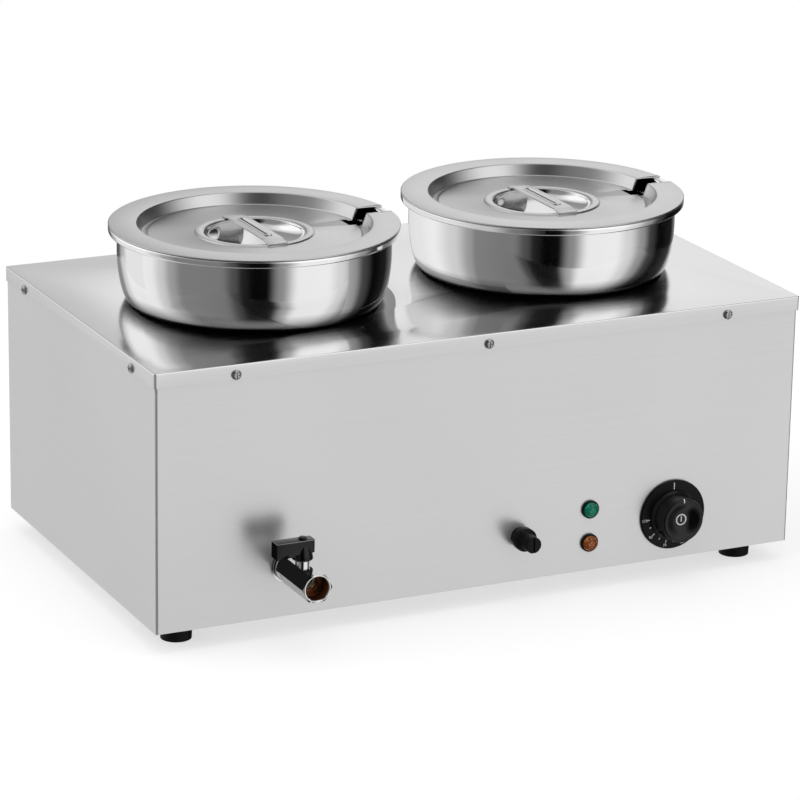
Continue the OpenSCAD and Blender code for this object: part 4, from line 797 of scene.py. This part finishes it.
def make_pot(side, x):
    """A polished pot with its satin lid, whose finger dish is polished too."""
    polish = pot_polish("pot_polish_" + side, (x, MID_Y, DECK_Z))
    satin = turned_steel("lid_satin_" + side, (x, MID_Y, 0), 1500.0, grey(0.58), grey(0.64), 0.26, 0.34, 0.010)
    bright = turned_steel("dish_polish_" + side, (x, MID_Y, 0), 1500.0, grey(0.76), grey(0.82), 0.06, 0.10, 0.001)
    make_piece("pot_shell_" + side, turned(pot_outline(), POT_STEPS), upright(x, MID_Y, DECK_Z), polish,
               "pot_" + side, ("pot_" + side,), 60)
    lid = turned(lid_outline(), POT_STEPS)
    for face in lid.faces:
        if face.normal.z < 0:
            face.normal_flip()
    cut_notch(lid)
    for face in lid.faces:
        face.material_index = int(face.calc_center_median().xy.length < DISH_R)
    cover = make_piece("lid_shell_" + side, lid, upright(x, MID_Y, RIM_Z), [satin, bright], "lid_" + side,
                       ("lid_" + side,), 60)
    thicken(cover, LID_T)
    make_handle(side, x, satin)


HANDLE_HALF, HANDLE_W, HANDLE_T, HANDLE_RISE = 51.5, 18.0, 1.6, 1.6
RIB_L, RIB_W, RIB_H, RIB_SUNK = 64.0, 8.0, 0.9, 0.15
STRAP_EDGE = 0.45
# From the rib's edge in to its groove: how far in each step goes, and how far up
RIB_STEPS = ((0.7, 0.2), (1.1, 0.0), (0.7, -0.9))


def make_handle(side, x, satin):
    """A pressed strap over the finger dish, with a raised rib and a groove along it."""
    place = upright(x, MID_Y, RIM_Z + FLOOR_Z + RING_H)
    half = [(-HANDLE_HALF, HANDLE_T), (-HANDLE_HALF + 4, HANDLE_T), (-HANDLE_HALF + 6, HANDLE_T + 0.3),
            (-HANDLE_HALF + 9, HANDLE_T + HANDLE_RISE - 0.3), (-HANDLE_HALF + 11, HANDLE_T + HANDLE_RISE)]
    line = half + [(-y, z) for y, z in reversed(half)]
    bm = bmesh.new()
    draw_out(bm, wire(bm, [(-HANDLE_W / 2, y, z) for y, z in line]), (HANDLE_W, 0, 0))
    for face in bm.faces:
        face.normal_update()
        if face.normal.z < 0:
            face.normal_flip()
    strap = make_piece("lid_strap_" + side, bm, place, satin, "lid_" + side,
                       ("lid_handle_" + side,), 50)
    thicken(strap, HANDLE_T)
    edge = strap.modifiers.new("rolled_edge", "BEVEL")
    edge.width = STRAP_EDGE * MM
    edge.segments = 3
    edge.limit_method = "ANGLE"
    edge.angle_limit = math.radians(50)
    rib = bmesh.new()
    bmesh.ops.create_cube(rib, size=1.0)
    bmesh.ops.scale(rib, vec=(RIB_W, RIB_L, RIB_H), verts=rib.verts[:])
    soften(rib, [e for e in rib.edges if abs(e.verts[0].co.z - e.verts[1].co.z) > 0.1], RIB_W / 2 - 0.05, 8)
    crown = max(rib.faces, key=lambda f: f.calc_center_median().z)
    for inset, lift in RIB_STEPS:
        bmesh.ops.inset_region(rib, faces=[crown], thickness=inset)
        bmesh.ops.translate(rib, verts=crown.verts[:], vec=(0, 0, lift))
    make_piece("lid_strap_rib_" + side, rib,
               place @ upright(0, 0, HANDLE_T + HANDLE_RISE + RIB_H / 2 - RIB_SUNK), satin, "lid_" + side,
               (), 40)


# ---------------------------------------------------------------- drain valve

VALVE_REACH, VALVE_FLATS, BALL_REACH = 64.0, 24.0, 32.0
HEX_START, COLLAR_START, COLLAR_R, SPIGOT_R = 7.0, 2.0, 13.5, 10.6
OUTLET_R, OUTLET_DEPTH, WAY_R, HEX_BACK = 10.5, 14.0, 7.0, 18.0
THREAD_PITCH, THREAD_H, THREAD_START, THREAD_RUNOUT = 1.6, 0.35, 0.8, 1.5
BOSS_R, BOSS_BOTTOM, BOSS_TOP, STEM_R = 6.1, 9.0, 15.9, 3.2


def at_ball():
    """Upright on the valve's axis, over the middle of its ball."""
    return upright(VALVE_X, FRONT_Y - BALL_REACH, VALVE_Z)


def make_valve_body():
    """A hexagon turned round at its mouth, with a threaded bore, on a grooved collar and under a round boss."""
    corner = VALVE_FLATS / 2 / math.cos(math.radians(30))
    mouth, back = VALVE_REACH, VALVE_REACH - OUTLET_DEPTH
    threads = []
    depth = THREAD_START
    while depth + THREAD_PITCH < OUTLET_DEPTH - THREAD_RUNOUT:
        threads += [(OUTLET_R, mouth - depth), (OUTLET_R - THREAD_H, mouth - depth - THREAD_PITCH / 2)]
        depth += THREAD_PITCH
    bm = turned(
        [(SPIGOT_R, HEX_START), (corner - 0.6, HEX_START), (corner + 0.2, HEX_START + 1.2),
         (corner + 0.2, mouth - 1.6), (VALVE_FLATS / 2 + 0.1, mouth - 0.2), (VALVE_FLATS / 2 - 0.1, mouth),
         (OUTLET_R + 0.7, mouth), (OUTLET_R, mouth - 0.7)]
        + threads
        + [(OUTLET_R, back + 1.2), (OUTLET_R, back), (WAY_R, back), (WAY_R, mouth - HEX_BACK),
           (SPIGOT_R, mouth - HEX_BACK), (SPIGOT_R, HEX_START)])
    cut_hexagon(bm, VALVE_FLATS)
    for face in bm.faces:
        middle = face.calc_center_median()
        if middle.xy.length < OUTLET_R + 0.2 and middle.z > HEX_START + 1:
            face.material_index = 1
    make_piece("valve_hexagon", bm, on_front(VALVE_X, VALVE_Z), [CHROME, BORE_BRASS], "casing",
               ("valve_body",), 20)
    low, high = COLLAR_START, HEX_START
    collar = turned([(SPIGOT_R, low), (COLLAR_R - 1.0, low), (COLLAR_R, low + 0.8), (COLLAR_R, low + 2.2),
                     (COLLAR_R - 0.8, low + 2.5), (COLLAR_R - 0.8, low + 2.9), (COLLAR_R, low + 3.2),
                     (COLLAR_R, high - 0.6), (COLLAR_R - 0.6, high), (SPIGOT_R, high), (SPIGOT_R, low)])
    make_piece("valve_collar", collar, on_front(VALVE_X, VALVE_Z), CHROME, "casing", (), 25)
    boss = turned([(STEM_R, BOSS_BOTTOM), (BOSS_R, BOSS_BOTTOM), (BOSS_R, BOSS_TOP - 0.7), (BOSS_R - 0.5, BOSS_TOP),
                   (STEM_R, BOSS_TOP), (STEM_R, BOSS_BOTTOM)], 64)
    make_piece("valve_boss", boss, at_ball(), CHROME, "casing", (), 25)


# Heights are above the valve's axis
LEVER_TIP, LEVER_BACK, LEVER_W, LEVER_TOP, LEVER_SKIRT = -26.0, 9.4, 12.0, 34.0, 14.5
NOSE_R, LEVER_EDGE = 4.5, 0.9
HUB_BOTTOM, SKIRT_BOTTOM = 21.2, 16.4
NUT_BOTTOM, NUT_H, NUT_R, NUT_FLATS, NUT_HOLE_R = 16.0, 5.0, 7.55, 13.0, 3.1


def make_lever():
    """A moulded bar with a deep lip at its tip, its round hub and screw, and the packing nut below."""
    lip = LEVER_TOP - LEVER_SKIRT
    side = [(LEVER_TIP, LEVER_TOP), (LEVER_BACK, LEVER_TOP), (LEVER_BACK, LEVER_TOP - 11.0), (7.0, HUB_BOTTOM + 1.5),
            (-8.4, HUB_BOTTOM + 0.8), (-10.0, HUB_BOTTOM - 0.6), (-19.5, HUB_BOTTOM - 0.9), (-21.0, lip),
            (LEVER_TIP, lip)]
    bm = bmesh.new()
    face = bm.faces.new([bm.verts.new((x, -LEVER_W / 2, z)) for x, z in side])
    move_made(bm, bmesh.ops.extrude_face_region(bm, geom=[face]), (0, LEVER_W, 0))
    bmesh.ops.recalc_face_normals(bm, faces=bm.faces[:])
    nose = [e for e in bm.edges
            if all(v.co.x > LEVER_BACK - 0.1 for v in e.verts) and abs(e.verts[0].co.z - e.verts[1].co.z) > 1]
    soften(bm, nose, NOSE_R, 6)
    soften(bm, sharp_edges(bm, 28), LEVER_EDGE)
    # Bevel faces along the top of the bar take the lighter grey, a painted highlight
    for face in bm.faces:
        face.normal_update()
        if 0.2 < face.normal.z < 0.9 and face.calc_center_median().z > LEVER_TOP - 1:
            face.material_index = 1
    make_piece("lever_bar", bm, at_ball(), [BLACK_GLOSS, EDGE_HIGHLIGHT_PAINT], "lever", ("valve_lever",), 40)
    foot, crown = SKIRT_BOTTOM, LEVER_TOP + 0.15
    hub = turned([(STEM_R, HUB_BOTTOM), (7.9, HUB_BOTTOM), (7.9, foot), (8.5, foot), (9.0, foot + 0.5),
                  (9.1, foot + 1.5), (8.7, foot + 4.0), (7.7, foot + 7.6), (6.4, foot + 11.6),
                  (5.2, LEVER_TOP - 1.6), (4.6, crown), (STEM_R, crown), (STEM_R, HUB_BOTTOM)], 64)
    make_piece("lever_hub", hub, at_ball(), BLACK_GLOSS, "lever", (), 40)
    screw = turned([(0, LEVER_TOP - 9.0), (1.5, LEVER_TOP - 9.0), (1.5, LEVER_TOP + 0.1), (3.3, LEVER_TOP + 0.1),
                    (3.4, LEVER_TOP + 0.8)]
                   + bend(2.0, LEVER_TOP + 0.9, 1.4, 1.3, 10, 90, 6) + [(0, LEVER_TOP + 2.2)], 48)
    make_piece("lever_screw_head", screw, at_ball(), BLACK_SCREW, "lever", ("lever_screw",), 40)
    foot, crown = NUT_BOTTOM, NUT_BOTTOM + NUT_H
    nut = turned([(NUT_HOLE_R, foot), (NUT_R - 0.85, foot), (NUT_R, foot + 0.8), (NUT_R, crown - 0.8),
                  (NUT_R - 0.85, crown), (NUT_HOLE_R, crown), (NUT_HOLE_R, foot)], 72)
    cut_hexagon(nut, NUT_FLATS)
    make_piece("packing_hexagon", nut, at_ball(), CHROME, "casing", ("packing_nut",), 20)


# ---------------------------------------------------------------- dial, lamps and fuse

PLATE_R, PLATE_T, SHAFT_HOLE_R = 32.0, 2.8, 4.0
KNOB_R, KNOB_FOOT, KNOB_REACH, KNOB_FACE_R, KNOB_EDGE = 23.0, 3.1, 22.0, 20.8, 2.2
DISH_EDGE_R, DISH_EYE_R, KNOB_DISH = 18.4, 5.6, 4.8
DIAL_STEPS = 144
# White print stands this far off. Then the ring and bar of the knob's icon, and the pointer's width.
INK = 0.06
ICON_IN, ICON_OUT, ICON_BAR, ICON_BAR_UP, POINTER_W = 4.1, 5.3, (1.1, 5.0, 0.25), 0.7, 1.0
# Numbers on the disc, placed clockwise from the top in degrees
NUMBERS, NUMBER_SIZE, NUMBER_R = ("30", "50", "70", "90", "110"), 3.7, 28.9
NUMBER_START, NUMBER_STEP = 125, 35


def dish_height(r):
    """How high the knob's dished face stands at this radius."""
    share = min(max((r - DISH_EYE_R) / (DISH_EDGE_R - DISH_EYE_R), 0.0), 1.0)
    return KNOB_REACH - KNOB_DISH * (0.5 + 0.5 * math.cos(math.pi * share))


def knob_edge():
    """From the skirt up the side and over the rounded edge."""
    foot, shoulder = KNOB_FOOT, KNOB_REACH - KNOB_EDGE
    return ([(KNOB_R - 0.6, foot), (KNOB_R, foot + 0.5), (KNOB_R, foot + 1.3), (KNOB_R - 0.3, foot + 1.8),
             (KNOB_FACE_R + 0.5, foot + 2.8), (KNOB_FACE_R, foot + 3.8), (KNOB_FACE_R - 0.5, shoulder)]
            + bend(KNOB_FACE_R - 0.5 - KNOB_EDGE, shoulder, KNOB_EDGE, KNOB_EDGE, 0, 90, 8))


def make_dial():
    """The fixed disc, and the knob with its dished face and its print."""
    place = on_front(DIAL_X, CONTROL_Z)
    plate = turned([(SHAFT_HOLE_R, 0.0), (PLATE_R, 0.0), (PLATE_R, PLATE_T - 1.0)]
                   + bend(PLATE_R - 1.0, PLATE_T - 1.0, 1.0, 1.0, 0, 90, 5)
                   + [(SHAFT_HOLE_R, PLATE_T), (SHAFT_HOLE_R, 0.0)], DIAL_STEPS)
    make_piece("dial_disc", plate, place, SATIN_BLACK, "casing", ("dial_plate",), 45)
    steps = 14
    radii = [DISH_EDGE_R + (DISH_EYE_R - DISH_EDGE_R) * i / steps for i in range(steps + 1)]
    eye = KNOB_REACH - KNOB_DISH
    knob = turned([(SHAFT_HOLE_R, KNOB_FOOT)] + knob_edge() + [(r, dish_height(r)) for r in radii] + [(0, eye)],
                  DIAL_STEPS)
    make_piece("knob_shell", knob, place, KNOB_BLACK, "knob", ("dial_knob",), 45)
    marks = turned([(ICON_IN, -0.1), (ICON_OUT, -0.1), (ICON_OUT, 0.15), (ICON_IN, 0.15), (ICON_IN, -0.1)], 64)
    bmesh.ops.translate(marks, verts=marks.verts[:], vec=(0, 0, eye))
    bar = bmesh.ops.create_cube(marks, size=1.0)["verts"]
    bmesh.ops.scale(marks, verts=bar, vec=ICON_BAR)
    bmesh.ops.translate(marks, verts=bar, vec=(0, ICON_BAR_UP, eye + 0.02))
    # The pointer runs up the knob's side, over its edge and a little into the dish
    run = knob_edge()[-7:] + [(r, dish_height(r)) for r in radii[:3]]
    rail = wire(marks, [(-POINTER_W / 2, r + INK, z + INK) for r, z in run])
    draw_out(marks, rail, (POINTER_W, 0, 0))
    make_piece("knob_print", marks, place, WHITE_PRINT, "knob", ("knob_marks",), 40)


def make_dial_numbers():
    """Plain numbers outside the long marks, printed upright on the disc."""
    bm = bmesh.new()
    for step, number in enumerate(NUMBERS):
        text = bpy.data.curves.new("number", "FONT")
        text.body = number
        text.size = NUMBER_SIZE * MM
        text.align_x = text.align_y = "CENTER"
        text.resolution_u = 3
        text.extrude = INK * MM
        carrier = bpy.data.objects.new("number", text)
        mesh = bpy.data.meshes.new_from_object(carrier)
        angle = math.radians(NUMBER_START + NUMBER_STEP * step)
        centre = Vector((NUMBER_R * math.sin(angle), NUMBER_R * math.cos(angle), PLATE_T + INK)) * MM
        mesh.transform(Matrix.Translation(centre))
        bm.from_mesh(mesh)
        bpy.data.objects.remove(carrier)
        bpy.data.curves.remove(text)
        bpy.data.meshes.remove(mesh)
    bm.transform(Matrix.Scale(1 / MM, 4))
    make_piece("dial_numbers", bm, on_front(DIAL_X, CONTROL_Z), WHITE_PRINT, "casing")


LENS_R, BEZEL_R, BEZEL_H, LENS_REACH = 6.9, 8.25, 2.6, 5.4
JEWEL_SIDES = 14


def make_lamp(colour, z, lens_finish):
    """A pilot lamp: a black ring, and a faceted lens that steps up to its middle."""
    place = on_front(LAMP_X, z)
    hole = LENS_R + 0.1
    ring = turned([(hole, 0.0), (BEZEL_R, 0.0), (BEZEL_R, BEZEL_H - 0.9)]
                  + bend(BEZEL_R - 0.7, BEZEL_H - 0.7, 0.7, 0.7, 0, 90, 4)
                  + [(LENS_R + 0.3, BEZEL_H), (hole, BEZEL_H - 0.3), (hole, 0.0)], 72)
    make_piece(colour + "_lamp_ring", ring, place, BLACK_PLASTIC, "casing",
               (colour + "_lamp_bezel",), 40)
    dome = turned([(0, 0.6), (LENS_R, 0.6), (LENS_R, BEZEL_H + 0.8), (LENS_R - 0.5, BEZEL_H + 1.5),
                   (LENS_R - 1.5, BEZEL_H + 2.1), (LENS_R - 2.2, BEZEL_H + 1.9), (LENS_R - 3.2, BEZEL_H + 2.5),
                   (LENS_R - 4.0, BEZEL_H + 2.3), (LENS_R - 5.2, LENS_REACH), (0, LENS_REACH)], JEWEL_SIDES)
    make_piece(colour + "_lamp_jewel", dome, place, lens_finish, "casing",
               (colour + "_lamp_lens",), 5)


# ---------------------------------------------------------------- deck

DECK_T = 1.0


def deck_fold(edge):
    """Edges of the deck's flat top."""
    return all(v.co.z > DECK_Z - 0.02 for v in edge.verts)


def deck_skirt(face):
    """Faces of its turned down edge, with the casing's finish."""
    return face.calc_center_median().z < DECK_Z - DECK_T - 0.05


# ---------------------------------------------------------------- the whole

set_camera()
set_stage()
make_pot("left", -POT_X)
make_pot("right", POT_X)
make_valve_body()
make_lever()
make_dial()
make_dial_numbers()
make_lamp("green", CONTROL_Z + LAMP_RISE, GREEN_LENS)
make_lamp("amber", CONTROL_Z - LAMP_RISE, AMBER_LENS)
soften_node("fuse_holder_moulding", "fuse_holder", 0.5, BLACK_PLASTIC, "casing", outside_front)
soften_node("fuse_cap_moulding", "fuse_cap", 0.35, BLACK_PLASTIC, "fuse_cap", outside_front)
soften_node("deck_folded_sheet", "top_deck", 0.8, [DECK_STEEL, CASING_STEEL], "casing",
            deck_fold, 40, second=deck_skirt)
